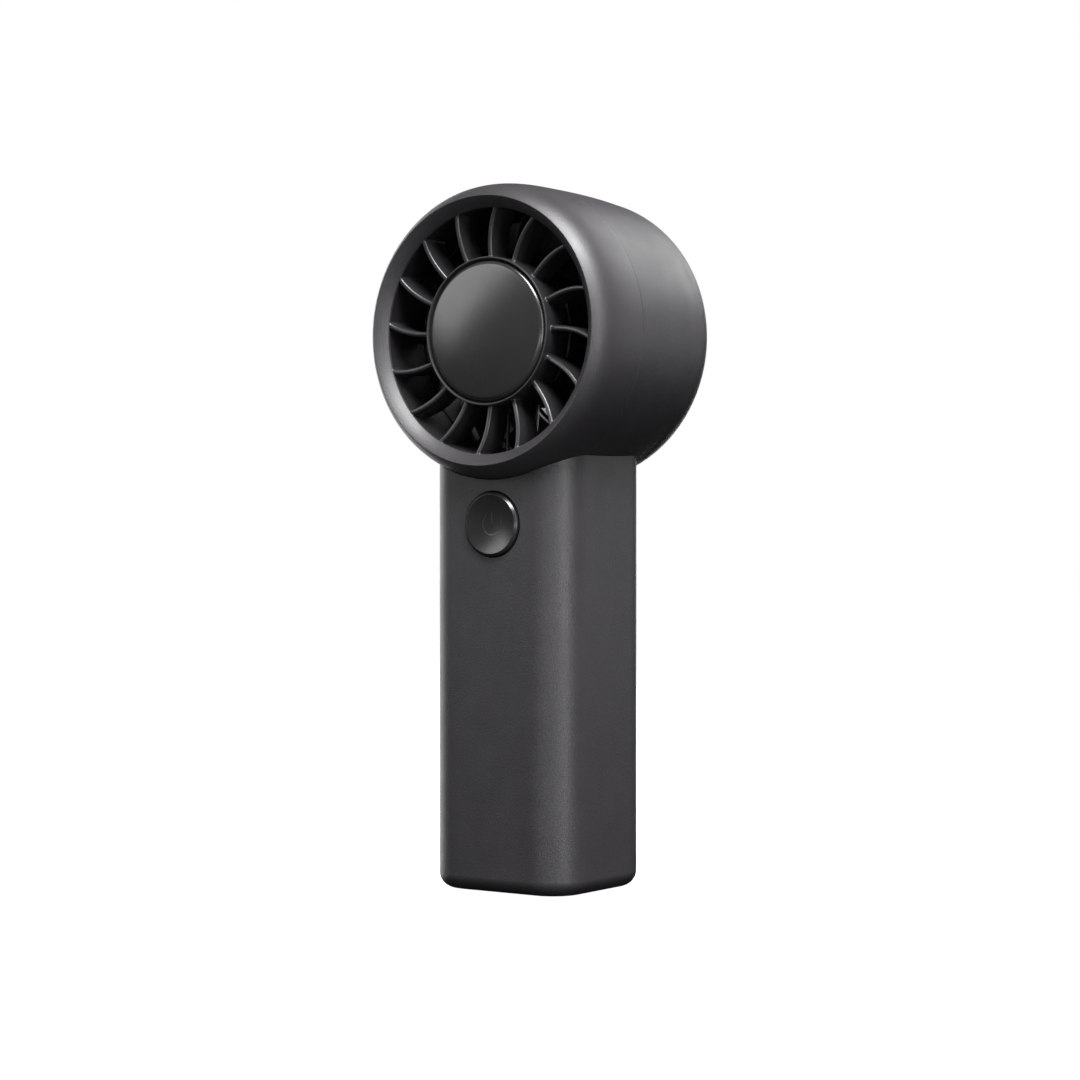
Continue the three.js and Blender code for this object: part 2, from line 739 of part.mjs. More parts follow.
function innerFrame() {
  const half = FRAME_WIDTH / 2;
  const back = HANDLE_REAR_Y;
  const rearOfFront = FRAME_FRONT_Y + FRAME_WALL;
  const front = box([-half, half], [FRAME_FRONT_Y, rearOfFront], [FRAME_BOTTOM_Z, FRAME_TOP_Z]);
  const bottom = box([-half, half], [FRAME_FRONT_Y, back], [FRAME_BOTTOM_Z, FRAME_BOTTOM_Z + FRAME_FLOOR]);
  const top = box([-20, 20], [FRAME_FRONT_Y, back], [FRAME_TOP_Z - FRAME_CEILING, FRAME_TOP_Z]);
  const rails = [-1, 1].map((side) => {
    const edges = [side * half, side * (half - FRAME_WALL)].sort((a, b) => a - b);
    return box(edges, [FRAME_FRONT_Y, RAIL_REAR_Y], [FRAME_BOTTOM_Z, RAIL_TOP_Z]);
  });
  const bosses = [-1, 1].map((side) =>
    turnedUpright(
      rod(FRAME_BOSS_R, FRAME_BOSS_Z, FRAME_BOTTOM_Z + 0.6),
      SMALL_SIDES,
      side * BASE_SCREW_X,
      HANDLE_MID_Y,
    ),
  );
  const play = GAP + 0.05;
  const room = column(
    CAVITY_WIDTH - 2 * play,
    CAVITY_DEPTH - 2 * play,
    CAVITY_CORNER_R - play,
    HANDLE_FLOOR,
    AXIS_Z,
  );
  const base = [-1, 1].map((side) =>
    turnedUpright(rod(SCREW_HOLE_R, 2, 8.6), SCREW_SIDES, side * BASE_SCREW_X, HANDLE_MID_Y),
  );
  const neck = [-1, 1].map((side) =>
    turnedUpright(rod(SCREW_HOLE_R, 78, 82), SCREW_SIDES, side * NECK_SCREW_X, NECK_SCREW_Y),
  );
  const passes = [
    box([4.4, 7.6], [FRAME_FRONT_Y - 1, rearOfFront + 1], [77, 79]),
    box([4.4, 7.6], [FRAME_FRONT_Y - 1, rearOfFront + 1], [11.4, 13.6]),
    ...boardScrewPlaces().map(([x, z]) =>
      turned(rod(SCREW_HOLE_R, FRAME_FRONT_Y - 1, rearOfFront + 1), SCREW_SIDES).translate(x, 0, z),
    ),
  ];
  const body = join(front, bottom, top, ...rails, ...bosses);
  return cut(common(body, room), ...base, ...neck, ...passes);
}

function boardScrewPlaces() {
  return [[-8.5, 60], [8.5, 24]];
}

function mainBoard() {
  const board = box([-11, 11], [BOARD_FRONT_Y, BOARD_FRONT_Y + BOARD_THICK], [9.5, 78.5]);
  const holes = boardScrewPlaces().map(([x, z]) =>
    turned(rod(SCREW_HOLE_R, BOARD_FRONT_Y - 1, FRAME_FRONT_Y), SCREW_SIDES).translate(x, 0, z),
  );
  return cut(board, ...holes);
}

function boardScrew([x, z]) {
  const head = BOARD_FRONT_Y - 0.3;
  const profile = [
    [0, head - SCREW_HEAD],
    [SCREW_HEAD_R, head - SCREW_HEAD],
    [SCREW_HEAD_R, head],
    [SCREW_R, head],
    [SCREW_R, FRAME_FRONT_Y + FRAME_WALL],
    [0, FRAME_FRONT_Y + FRAME_WALL],
  ];
  return turned(profile, SCREW_SIDES).translate(x, 0, z);
}

function batteryCell() {
  const top = CELL_BOTTOM_Z + CELL_LENGTH;
  return turnedUpright(
    [
      [0, CELL_BOTTOM_Z],
      [CELL_R - 0.5, CELL_BOTTOM_Z],
      [CELL_R, CELL_BOTTOM_Z + 0.5],
      [CELL_R, top - 1.3],
      [CELL_R - 0.5, top - 0.8],
      [2.8, top - 0.8],
      [2.8, top],
      [0, top],
    ],
    24,
    0,
    CELL_Y,
  );
}

// ---- Button, switch and charging socket ----

function buttonCap() {
  const front = HANDLE_FRONT_Y - BUTTON_PROUD;
  const wallInside = HANDLE_FRONT_Y + HANDLE_WALL;
  const dish = [0, 0.5, 0.8, 1].map((share) => [
    (BUTTON_R - BUTTON_BEVEL) * share,
    front + BUTTON_DISH * (1 - share ** 2),
  ]);
  const profile = [
    ...dish,
    [BUTTON_R, front + BUTTON_BEVEL],
    [BUTTON_R, wallInside + GAP],
    [BUTTON_FLANGE_R, wallInside + GAP],
    [BUTTON_FLANGE_R, wallInside + GAP + 0.8],
    [1.5, wallInside + GAP + 0.8],
    [1.5, wallInside + GAP + 1.05],
    [0, wallInside + GAP + 1.05],
  ];
  return turned(profile, HUB_SIDES).translate(0, 0, BUTTON_Z);
}

function switchBody() {
  const half = SWITCH_SIZE / 2;
  const block = box([-half, half], [-13.6, BOARD_FRONT_Y - 0.3], [BUTTON_Z - half, BUTTON_Z + half]);
  const pocket = turned(rod(PLUNGER_R + 0.15, -15, -12.3), SMALL_SIDES).translate(0, 0, BUTTON_Z);
  return cut(block, pocket);
}

function switchPlunger() {
  return turned(rod(PLUNGER_R, -14.4, -12.9), SMALL_SIDES).translate(0, 0, BUTTON_Z);
}

function usbSocket() {
  const mouth = HANDLE_REAR_Y - 0.4;
  const back = mouth - SOCKET_LENGTH;
  const radius = SOCKET_HEIGHT / 2 - 0.02;
  const shell = barAlongY(SOCKET_WIDTH, SOCKET_HEIGHT, radius, back, mouth, PORT_Z);
  const hollow = barAlongY(
    SOCKET_WIDTH - 2 * SOCKET_WALL,
    SOCKET_HEIGHT - 2 * SOCKET_WALL,
    radius - SOCKET_WALL,
    back + 1.2,
    mouth + 1,
    PORT_Z,
  );
  const half = TONGUE_WIDTH / 2;
  const tongue = box(
    [-half, half],
    [back + 0.6, mouth - 0.8],
    [PORT_Z - TONGUE_THICK / 2, PORT_Z + TONGUE_THICK / 2],
  );
  return join(cut(shell, hollow), tongue);
}

// ---- The fan ----

const colours = {
  shell: { color: 0x39373a, roughness: 0.55, metalness: 0 },
  dark: { color: 0x1d1d1f, roughness: 0.45, metalness: 0 },
  gloss: { color: 0x242427, roughness: 0.15, metalness: 0 },
  steel: { color: 0xb8b8bc, roughness: 0.3, metalness: 1 },
  magnet: { color: 0x3a3a3e, roughness: 0.5, metalness: 0.6 },
  copper: { color: 0xb86b3a, roughness: 0.35, metalness: 1 },
  board: { color: 0x1d4a2c, roughness: 0.5, metalness: 0 },
  cell: { color: 0x2c5fa8, roughness: 0.4, metalness: 0 },
  frame: { color: 0xd8d8d2, roughness: 0.6, metalness: 0 },
  nickel: { color: 0xc9c5ba, roughness: 0.3, metalness: 1 },
  red: { color: 0xa81f1f, roughness: 0.5, metalness: 0 },
  black: { color: 0x141414, roughness: 0.5, metalness: 0 },
  chip: { color: 0x17171a, roughness: 0.5, metalness: 0 },
  light: { color: 0xf2f2ea, roughness: 0.3, metalness: 0 },
};

const fan = new THREE.Group();
const rotor = new THREE.Group();
fan.add(rotor);

function add(name, geometry, colour, group = fan) {
  geometry.computeVertexNormals();
  const mesh = new THREE.Mesh(geometry, new THREE.MeshStandardMaterial(colours[colour]));
  mesh.name = name;
  group.add(mesh);
}

add("front_bezel", frontBezel(), "shell");
add("rear_shell", rearShell(), "shell");
add("front_grille", frontGrille(), "dark");
add("hub_cap", hubCap(), "gloss");
add("rear_grille", rearGrille(), "dark");

add("impeller", impeller(), "dark", rotor);
add("rotor_can", turnedOnHead(tube(CAN_R, ROTOR_BORE_R - 0.1, -10.6, -1.2), ROTOR_SIDES), "steel", rotor);
add("magnet_ring", turnedOnHead(tube(MAGNET_R, CAN_R - 0.1, -9.8, -2.2), ROTOR_SIDES), "magnet", rotor);
add("motor_shaft", turnedOnHead(rod(SHAFT_R, -12.8, 4.4), SMALL_SIDES), "steel", rotor);
add("shaft_clip", turnedOnHead(tube(SHAFT_R + 0.05, 2.3, -12, -11.6), SMALL_SIDES), "steel", rotor);

add("motor_base", motorBase(), "steel");
add("front_bearing", bearing(-11.2), "steel");
add("rear_bearing", bearing(-1.6), "steel");
add("stator_core", statorCore(), "magnet");
for (let i = 0; i < TEETH; i += 1) add(`coil_${i + 1}`, coil(i), "copper");
add("motor_board", motorBoard(), "board");
motorScrewAngles().forEach((angle, i) => add(`motor_screw_${i + 1}`, motorScrew(angle), "steel"));

add("handle_sleeve", sleeve(), "shell");
add("base_cap", baseCap(), "shell");
[-1, 1].forEach((side, i) => {
  const base = [side * BASE_SCREW_X, HANDLE_MID_Y, BASE_SCREW_Z, BASE_SCREW_LENGTH];
  const neck = [side * NECK_SCREW_X, NECK_SCREW_Y, NECK_SCREW_Z, NECK_SCREW_LENGTH];
  add(`base_screw_${i + 1}`, uprightScrew(...base), "steel");
  add(`neck_screw_${i + 1}`, uprightScrew(...neck), "steel");
});
add("inner_frame", innerFrame(), "frame");

add("battery_cell", batteryCell(), "cell");
const cellTop = CELL_BOTTOM_Z + CELL_LENGTH;
const cellBottom = CELL_BOTTOM_Z - GAP;
const [tabX, tabY] = [[-3, 7], [-1.4, 4.6]];
add("battery_tab_top", box(tabX, tabY, [cellTop + GAP, cellTop + 0.55]), "nickel");
add("battery_tab_bottom", box(tabX, tabY, [cellBottom - 0.3, cellBottom]), "nickel");
const redRoute = [[6, 1.5, 77.8], [6, -3, 78], [6, -7, 78], [6, -9.75, 78]];
const blackRoute = [[6, -6.4, 11.9], [6, -7.4, 12.2], [6, -8.6, 12.5], [6, -9.75, 12.5]];
add("battery_lead_positive", lead(redRoute, CELL_LEAD_R), "red");
add("battery_lead_negative", lead(blackRoute, CELL_LEAD_R), "black");

add("main_board", mainBoard(), "board");
boardScrewPlaces().forEach((place, i) => add(`board_screw_${i + 1}`, boardScrew(place), "steel"));
add("button_cap", buttonCap(), "gloss");
add("switch_body", switchBody(), "chip");
add("switch_plunger", switchPlunger(), "light");
const onBoard = BOARD_FRONT_Y - GAP;
add("status_led", box([4, 5.6], [onBoard - 0.7, onBoard], [BUTTON_Z - 0.4, BUTTON_Z + 0.4]), "light");
add("driver_chip", box([-2.5, 2.5], [onBoard - 0.9, onBoard], [44, 49]), "chip");
add("inductor", box([-2.5, 2.5], [onBoard - 2.2, onBoard], [33, 38]), "magnet");
add("lead_connector", box([5.4, 10.6], [onBoard - 2.4, onBoard], [56, 61]), "frame");

const headRoute = [
  [0, -11.85, AXIS_Z - 7.8],
  [0, LEAD_Y + 0.1, AXIS_Z - 8.2],
  [0, LEAD_Y, AXIS_Z - 9.4],
  [0, LEAD_Y, AXIS_Z - 17],
  [0, LEAD_Y, AXIS_Z - 25.4],
  [0, LEAD_Y + 1, AXIS_Z - 27],
  [0, -8, AXIS_Z - 27.15],
  [0, -5.2, AXIS_Z - 27.3],
  [0, LEAD_DROP_Y, AXIS_Z - 29],
  [0, LEAD_DROP_Y - 1, 81.8],
  [2.5, -8.5, 81.3],
  [6.5, -12, 80.3],
  [8, -12.7, 76],
  [8, -12.9, 66],
  [8, -12.9, 61.3],
];
add("motor_lead", lead(headRoute, LEAD_R), "black");

add("usb_socket", usbSocket(), "steel");
add("charge_board", box([-5.8, 5.8], [-5, 12], [PORT_Z - 3.1, PORT_Z - 1.9]), "board");

export default fan;
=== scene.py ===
import json
import math

import bmesh
import bpy
from mathutils import Matrix, Vector


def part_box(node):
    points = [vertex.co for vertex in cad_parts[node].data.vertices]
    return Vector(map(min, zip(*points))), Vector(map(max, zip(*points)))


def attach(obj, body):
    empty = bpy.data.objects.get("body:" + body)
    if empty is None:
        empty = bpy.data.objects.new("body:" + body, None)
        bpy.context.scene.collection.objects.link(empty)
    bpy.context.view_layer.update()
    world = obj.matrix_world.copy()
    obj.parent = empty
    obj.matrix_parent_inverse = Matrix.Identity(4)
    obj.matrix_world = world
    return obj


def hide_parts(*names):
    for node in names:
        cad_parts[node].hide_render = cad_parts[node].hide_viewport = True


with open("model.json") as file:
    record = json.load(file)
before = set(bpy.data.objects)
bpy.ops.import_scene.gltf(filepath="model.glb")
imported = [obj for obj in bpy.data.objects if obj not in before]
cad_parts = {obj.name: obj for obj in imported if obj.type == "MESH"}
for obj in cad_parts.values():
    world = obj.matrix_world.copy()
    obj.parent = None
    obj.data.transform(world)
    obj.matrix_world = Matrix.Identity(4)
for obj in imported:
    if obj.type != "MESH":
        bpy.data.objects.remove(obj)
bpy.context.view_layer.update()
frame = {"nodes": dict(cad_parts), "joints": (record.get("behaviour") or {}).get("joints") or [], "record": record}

# Lengths are in millimetres, and turn into metres when a mesh is made.
MM = 0.001
ON_AXIS = 1e-6

joints = {joint["name"]: joint for joint in frame["joints"]}
AXIS_Z = joints["rotor_spin"]["pos_m"][2] / MM

# Head: a barrel round an axis along Y.
FRONT_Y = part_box("front_bezel")[0].y / MM
REAR_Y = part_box("rear_shell")[1].y / MM
HEAD_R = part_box("rear_shell")[1].x / MM
LIP_R = 26.95
LIP_EDGE = 0.12
LIP_BULGE = 0.16
DUCT_R = 24.7
DUCT_WALL = 1.4
THROAT_Y = FRONT_Y + 2.2
SHELL_WALL = 2
PARTING_Y = -8.9
PARTING_GAP = 0.02
PARTING_EDGE = 0.05
TAPER_START_Y = -8.2
TAPER_END_Y = 13
TAPER_R = 29.48
TAPER_POWER = 2.9
REAR_FACE_R = 22.9
DUCT_FRONT_Y = -7.7
DUCT_REAR_Y = 12.5

# Seat of the rear grille, in the rear shell.
REAR_SEAT_R = 21.6
REAR_SEAT_Y = 20
REAR_LEDGE_R = 20.4
REAR_LEDGE_Y = 18.6

# Front grille.
HUB_R = 14.93
HUB_RIM_Y = -20.2
HUB_WALL = 1.2
HUB_RIM = 0.36
HUB_LIP = 0.72
HUB_LIP_DEPTH = 0.94
VANES = 16
VANE_THICK = 1.05
VANE_FRONT_Y = HUB_RIM_Y + 1.4
VANE_TIP_FORWARD = 1.3
VANE_REAR_Y = -13.2
VANE_TURN_DEG = 0.2
VANE_SWEEP_DEG = 5
VANE_SWEEP_POWER = 2.1
VANE_EDGE = 0.44
VANE_REAR_EDGE = 0.15
VANE_FILLET = 0.4
WEB_FRONT_Y = -14.6
WEB_REAR_Y = VANE_REAR_Y
RING_FRONT_Y = THROAT_Y + 0.52
RING_REAR_Y = -8
CAP_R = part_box("hub_cap")[1].x / MM
CAP_CROWN_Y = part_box("hub_cap")[0].y / MM
CAP_EDGE = 1.15
CAP_PLAY = 0.4
CAP_SKIRT = 2.4
CAP_SKIRT_WALL = 1

# Rear grille.
BACK_GRILLE_FRONT_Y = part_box("rear_grille")[0].y / MM
BACK_GRILLE_REAR_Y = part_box("rear_grille")[1].y / MM
BACK_GRILLE_R = 21.3
BACK_RINGS = [(19.9, BACK_GRILLE_R), (14.4, 15.5), (9.2, 10.3)]
BACK_HUB_R = 4.6
BACK_SPOKES = 9
BACK_SPOKE_WIDTH = 1.2
BACK_EDGE = 0.35
BACK_FRONT_EDGE = 0.15

# Impeller.
BLADES = 11
BLADE_THICK = 1
BLADE_TIP_R = DUCT_R - 0.7
BLADE_FRONT_Y = -10.9
BLADE_REAR_Y = 1.6
BLADE_TURN_DEG = 34
BLADE_LEAN_DEG = 6
ROTOR_R = 14.6
ROTOR_BORE_R = 13.3
ROTOR_FRONT_Y = -11.4
ROTOR_SHOULDER_Y = 0.5
ROTOR_NOSE_Y = 6.5
ROTOR_BOSS_R = 3.2
ROTOR_BOSS_FRONT_Y = 1.6
ROTOR_BOSS_REAR_Y = 3.6
SHAFT_BORE_R = 1.05
SHAFT_BORE_END_Y = 4.7

# Handle: a straight sleeve of rounded rectangular section.
HANDLE_LOW, HANDLE_HIGH = (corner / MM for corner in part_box("handle_sleeve"))
HANDLE_WIDTH = HANDLE_HIGH.x - HANDLE_LOW.x
HANDLE_DEPTH = HANDLE_HIGH.y - HANDLE_LOW.y
HANDLE_MID_Y = (HANDLE_HIGH.y + HANDLE_LOW.y) / 2
HANDLE_CORNER_R = 8.4
HANDLE_WALL = 1.8
HANDLE_FOOT_R = 3.1
HANDLE_FLOOR = 2.2
HANDLE_EDGE = 0.2
SCRIBE_GAP = 0.08
NECK_Z = 81.2
NECK_WALL = 1.5
NECK_PLAY = 0.35
NECK_SETBACK = 0.6
NECK_BOSS_R = 2.6
NECK_SCREW_X = 11.5
NECK_SCREW_Y = -4
NECK_HOLE_TOP_Z = 84.6
SCREW_HOLE_R = 1.15

# Base plate and its screws.
BASE_WIDTH = 25.7
BASE_DEPTH = 23
BASE_CORNER_R = 4
BASE_PLATE = 0.9
BASE_GAP = 0.12
BASE_LEDGE = 1.5
BASE_EDGE = 0.25
WELL_GAP = 0.2
WELL_DEPTH = 1.3
BASE_SCREW_X = abs(sum(corner.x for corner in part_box("base_screw_2"))) / 2 / MM
SCREW_HEAD_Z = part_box("base_screw_1")[0].z / MM
SCREW_TOP_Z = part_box("base_screw_1")[1].z / MM
SCREW_HEAD_R = 1.9
SCREW_HEAD = 1.1
SCREW_HEAD_EDGE = 0.3
SCREW_R = 1
THREAD_DEPTH = 0.25
THREAD_PITCH = 0.6
CROSS_LENGTH = 1.05
CROSS_WIDTH = 0.24
CROSS_DEPTH = 0.75

# Button.
BUTTON_Z = (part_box("button_cap")[0].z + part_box("button_cap")[1].z) / 2 / MM
BUTTON_FRONT_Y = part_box("button_cap")[0].y / MM
BUTTON_REAR_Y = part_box("button_cap")[1].y / MM
BUTTON_HOLE_R = 6.73
BUTTON_R = BUTTON_HOLE_R - 0.3
BUTTON_HOLE_EDGE = 0.12
BUTTON_BEVEL = 0.47
BUTTON_DISH = 0.68
BUTTON_DISH_R = BUTTON_R - BUTTON_BEVEL
BUTTON_FLANGE_R = 7.4
BUTTON_FLANGE = 0.8
BUTTON_STEM_R = 1.5
BUTTON_STEM = 0.25
MARK_R = 2.35
MARK_WIDTH = 0.34
MARK_OPEN_DEG = 38

# Charging socket.
PORT_Z = (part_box("usb_socket")[0].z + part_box("usb_socket")[1].z) / 2 / MM
PORT_WIDTH = 9.6
PORT_HEIGHT = 3.8
PORT_CORNER_R = 1.8
PORT_EDGE = 0.3
SOCKET_WIDTH = 8.94
SOCKET_HEIGHT = 3.16
SOCKET_MOUTH_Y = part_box("usb_socket")[1].y / MM
SOCKET_BACK_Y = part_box("usb_socket")[0].y / MM
SOCKET_WALL = 0.3
TONGUE_WIDTH = 6.2
TONGUE_THICK = 0.7
TONGUE_SETBACK = 0.7
CONTACTS = 12
CONTACT_THICK = 0.03
CONTACT_BACK = 4.5
CONTACT_FRONT = 1.1

# Facets round a turned shape, and the angle between faces from which an edge stays sharp.
HEAD_SIDES = 256
HUB_SIDES = 160
SMALL_SIDES = 48
SHARP_DEG = 32

# Stage: a level camera, a floor just below the fan's foot, and the height that the lamps face.
CAMERA_AZIMUTH = 35
CAMERA_DISTANCE = 542.8
CAMERA_Z = 71.04
CAMERA_TARGET_Y = -1.15
CAMERA_FOCAL = 87.87
FLOOR_HALF = 6000
FLOOR_DROP = 0.15
AIM_Z = 90


# ---- Meshes ----

def made(name, points, faces):
    """A closed mesh from points in millimetres, with its normals outwards."""
    mesh = bpy.data.meshes.new(name)
    mesh.from_pydata([Vector(point) * MM for point in points], [], faces)
    work = bmesh.new()
    work.from_mesh(mesh)
    bmesh.ops.recalc_face_normals(work, faces=work.faces)
    work.to_mesh(mesh)
    work.free()
    piece = bpy.data.objects.new(name, mesh)
    bpy.context.scene.collection.objects.link(piece)
    return piece


def rounded(corners, steps=5):
    """A closed outline of (a, b) points, where a corner (a, b, radius) becomes an arc."""
    outline = []
    for index, (a, b, *radius) in enumerate(corners):
        here = Vector((a, b))
        if not radius:
            outline.append((a, b))
            continue
        before = (Vector(corners[index - 1][:2]) - here).normalized()
        after = (Vector(corners[(index + 1) % len(corners)][:2]) - here).normalized()
        half = before.angle(after) / 2
        centre = here + (before + after).normalized() * radius[0] / math.sin(half)
        spoke = here + before * radius[0] / math.tan(half) - centre
        turn = math.pi - 2 * half
        side = 1 if before.x * after.y - before.y * after.x < 0 else -1
        for step in range(steps + 1):
            angle = side * turn * step / steps
            cos, sin = math.cos(angle), math.sin(angle)
            outline.append((
                centre.x + spoke.x * cos - spoke.y * sin,
                centre.y + spoke.x * sin + spoke.y * cos,
            ))
    return outline


def turned(name, profile, sides, centre=(0, 0, 0), upright=False):
    """A profile of (radius, height) points turned about Y, or about Z where it is upright."""
    points = []
    rings = []
    for radius, height in profile:
        if radius < ON_AXIS:
            rings.append([len(points)] * sides)
            points.append((0, height, 0))
            continue
        rings.append(list(range(len(points), len(points) + sides)))
        for step in range(sides):
            angle = 2 * math.pi * step / sides
            points.append((radius * math.sin(angle), height, radius * math.cos(angle)))
    if upright:
        points = [(x, z, y) for x, y, z in points]
    points = [Vector(point) + Vector(centre) for point in points]
    pairs = list(zip(rings, rings[1:]))
    if profile[0][0] > ON_AXIS:
        pairs.append((rings[-1], rings[0]))
    faces = []
    for low, high in pairs:
        for step in range(sides):
            following = (step + 1) % sides
            corners = (low[step], low[following], high[following], high[step])
            face = list(dict.fromkeys(corners))
            if len(face) > 2:
                faces.append(face)
    return made(name, points, faces)


def on_head(name, profile, sides=HEAD_SIDES):
    """A profile of (radius, y) points turned about the head's axis."""
    return turned(name, profile, sides, (0, 0, AXIS_Z))


def loft(name, sections):
    """A closed skin over sections that have the same number of points."""
    count = len(sections[0])
    points = [point for section in sections for point in section]
    faces = [list(range(count)), list(range(len(points) - count, len(points)))]
    for row in range(len(sections) - 1):
        for step in range(count):
            here = row * count + step
            beside = row * count + (step + 1) % count
            faces.append((here, beside, beside + count, here + count))
    return made(name, points, faces)


def ring_loft(name, rows):
    """A closed skin over rows of points, the last of which joins the first."""
    count = len(rows[0])
    points = [point for row in rows for point in row]
    faces = []
    for row in range(len(rows)):
        low, high = row * count, (row + 1) % len(rows) * count
        for step in range(count):
            beside = (step + 1) % count
            faces.append((low + step, low + beside, high + beside, high + step))
    return made(name, points, faces)


def quarter_turn(steps):
    """The sine and cosine of evenly spaced angles from 0 to 90 degrees."""
    angles = [math.pi / 2 * step / steps for step in range(steps + 1)]
    return [(math.sin(angle), math.cos(angle)) for angle in angles]


def rounded_loop(width, depth, radius, arc_steps=10, flat_steps=10):
    """Points (x, y) anticlockwise round a rounded rectangle about the origin."""
    x, y = width / 2 - radius, depth / 2 - radius
    arcs = []
    for quarter, (cx, cy) in enumerate([(x, y), (-x, y), (-x, -y), (x, -y)]):
        arc = []
        for step in range(arc_steps + 1):
            angle = math.pi / 2 * (quarter + step / arc_steps)
            arc.append(Vector((cx + radius * math.cos(angle), cy + radius * math.sin(angle))))
        arcs.append(arc)
    loop = []
    for quarter, arc in enumerate(arcs):
        loop += arc
        following = arcs[(quarter + 1) % 4][0]
        for step in range(1, flat_steps):
            loop.append(arc[-1].lerp(following, step / flat_steps))
    return loop


def baked(piece):
    """The piece with its modifiers made part of its mesh."""
    graph = bpy.context.evaluated_depsgraph_get()
    graph.update()
    mesh = bpy.data.meshes.new_from_object(piece.evaluated_get(graph))
    piece.modifiers.clear()
    piece.data = mesh
    return piece


def combined(piece, operation, others):
    """The piece joined with the others, or cut by them."""
    for other in others:
        step = piece.modifiers.new("step", "BOOLEAN")
        step.operation = operation
        step.solver = "MANIFOLD"
        step.object = other
    baked(piece)
    for other in others:
        bpy.data.objects.remove(other)
    return piece


def joined(piece, *others):
    return combined(piece, "UNION", others)


def cut(piece, *others):
    return combined(piece, "DIFFERENCE", others)


def copies(piece, count, start_deg=0):
    """Copies of a piece spread evenly about the head's axis. The piece itself is the first."""
    pieces = [piece]
    pieces += [piece.copy() for _ in range(count - 1)]
    about = Matrix.Translation((0, 0, AXIS_Z * MM))
    shape = piece.data
    for index, each in enumerate(pieces):
        turn = Matrix.Rotation(math.radians(start_deg) + 2 * math.pi * index / count, 4, "Y")
        each.data = shape.copy()
        each.data.transform(about @ turn @ about.inverted())
        if index:
            bpy.context.scene.collection.objects.link(each)
    return pieces


def finished(piece, body, material, nodes=(), bands=()):
    """Gives a piece its shading, material and body.

    A band (material, low, high) covers the faces between two radii about the head's axis.
    """
    piece.data.shade_smooth()
    piece.data.set_sharp_from_angle(angle=math.radians(SHARP_DEG))
    weighted = piece.modifiers.new("weighted", "WEIGHTED_NORMAL")
    weighted.keep_sharp = True
    baked(piece)
    piece.data.materials.clear()
    piece.data.materials.append(material)
    for index, (band_material, low, high) in enumerate(bands, 1):
        piece.data.materials.append(band_material)
        for face in piece.data.polygons:
            x, _, z = face.center / MM
            if low < math.hypot(x, z - AXIS_Z) < high:
                face.material_index = index
    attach(piece, body)
    if nodes:
        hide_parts(*nodes)
    return piece


# ---- The head's outline ----

def barrel_outline():
    """Radius and y of the barrel's outer skin, from the lip to the rear face."""
    controls = [
        Vector((LIP_R, FRONT_Y)),
        Vector((29.4, FRONT_Y + 2.06)),
        Vector((HEAD_R, FRONT_Y + 5.1)),
        Vector((HEAD_R, TAPER_START_Y - 1)),
    ]
    points = []
    turns = 28
    for step in range(turns + 1):
        t = step / turns
        shares = [(1 - t) ** 3, 3 * t * (1 - t) ** 2, 3 * t * t * (1 - t), t ** 3]
        point = sum((control * share for control, share in zip(controls, shares)), Vector((0, 0)))
        points.append((point.x, point.y))
    tapers = 16
    for step in range(tapers + 1):
        share = step / tapers
        y = TAPER_START_Y + (TAPER_END_Y - TAPER_START_Y) * share
        points.append((HEAD_R - (HEAD_R - TAPER_R) * share ** TAPER_POWER, y))
    for sin, cos in quarter_turn(turns)[1:]:
        radius = REAR_FACE_R + (TAPER_R - REAR_FACE_R) * cos
        points.append((radius, TAPER_END_Y + (REAR_Y - TAPER_END_Y) * sin))
    return points


BARREL = barrel_outline()


def barrel_radius(y):
    """Radius of the barrel's outer skin at a place along its axis."""
    for (low_r, low_y), (high_r, high_y) in zip(BARREL, BARREL[1:]):
        if low_y <= y <= high_y:
            return low_r + (high_r - low_r) * (y - low_y) / (high_y - low_y)
    return LIP_R


def scribed_z(x, y, clearance):
    """Height at which an upright line meets the barrel's underside, less a clearance."""
    return AXIS_Z - math.sqrt((barrel_radius(y) + clearance) ** 2 - x * x)


# ---- Head shells and grilles ----

def lip_curve():
    """Points across the flared lip, which bulges a little between the duct and its rim."""
    inner = Vector((DUCT_R, THROAT_Y))
    outer = Vector((LIP_R, FRONT_Y))
    out = Vector((FRONT_Y - THROAT_Y, DUCT_R - LIP_R)).normalized()
    steps = 12
    points = []
    for step in range(1, steps):
        share = step / steps
        point = inner.lerp(outer, share) + out * LIP_BULGE * 4 * share * (1 - share)
        points.append((point.x, point.y))
    return points


def front_bezel():
    end = PARTING_Y - PARTING_GAP / 2
    inner = HEAD_R - SHELL_WALL
    skin = [point for point in BARREL if point[1] < end - 2 * PARTING_EDGE]
    corners = [
        (LIP_R, FRONT_Y, LIP_EDGE),
        *skin[1:],
        (barrel_radius(end), end, PARTING_EDGE),
        (inner, end),
        (inner, THROAT_Y + 2.6),
        (DUCT_R + DUCT_WALL + 0.4, THROAT_Y + 0.5),
        (DUCT_R, THROAT_Y + 0.5),
        (DUCT_R, THROAT_Y, 0.18),
        *lip_curve(),
    ]
    return on_head("bezel", rounded(corners))


def neck_skirt():
    """The skirt that hangs under the barrel, inside the sleeve. Its front is flat."""
    inset = HANDLE_WALL + NECK_PLAY
    outer = handle_loop(inset, steps=10)
    inner = handle_loop(inset + NECK_WALL, steps=10)
    front = PARTING_Y + NECK_SETBACK
    rows = []
    for loop, raised in ((outer, True), (inner, True), (inner, False), (outer, False)):
        loop = [(x, max(y, front)) for x, y in loop]
        rows.append([
            (x, y, scribed_z(x, y, -SHELL_WALL / 2) if raised else NECK_Z) for x, y in loop
        ])
    return ring_loft("skirt", rows)


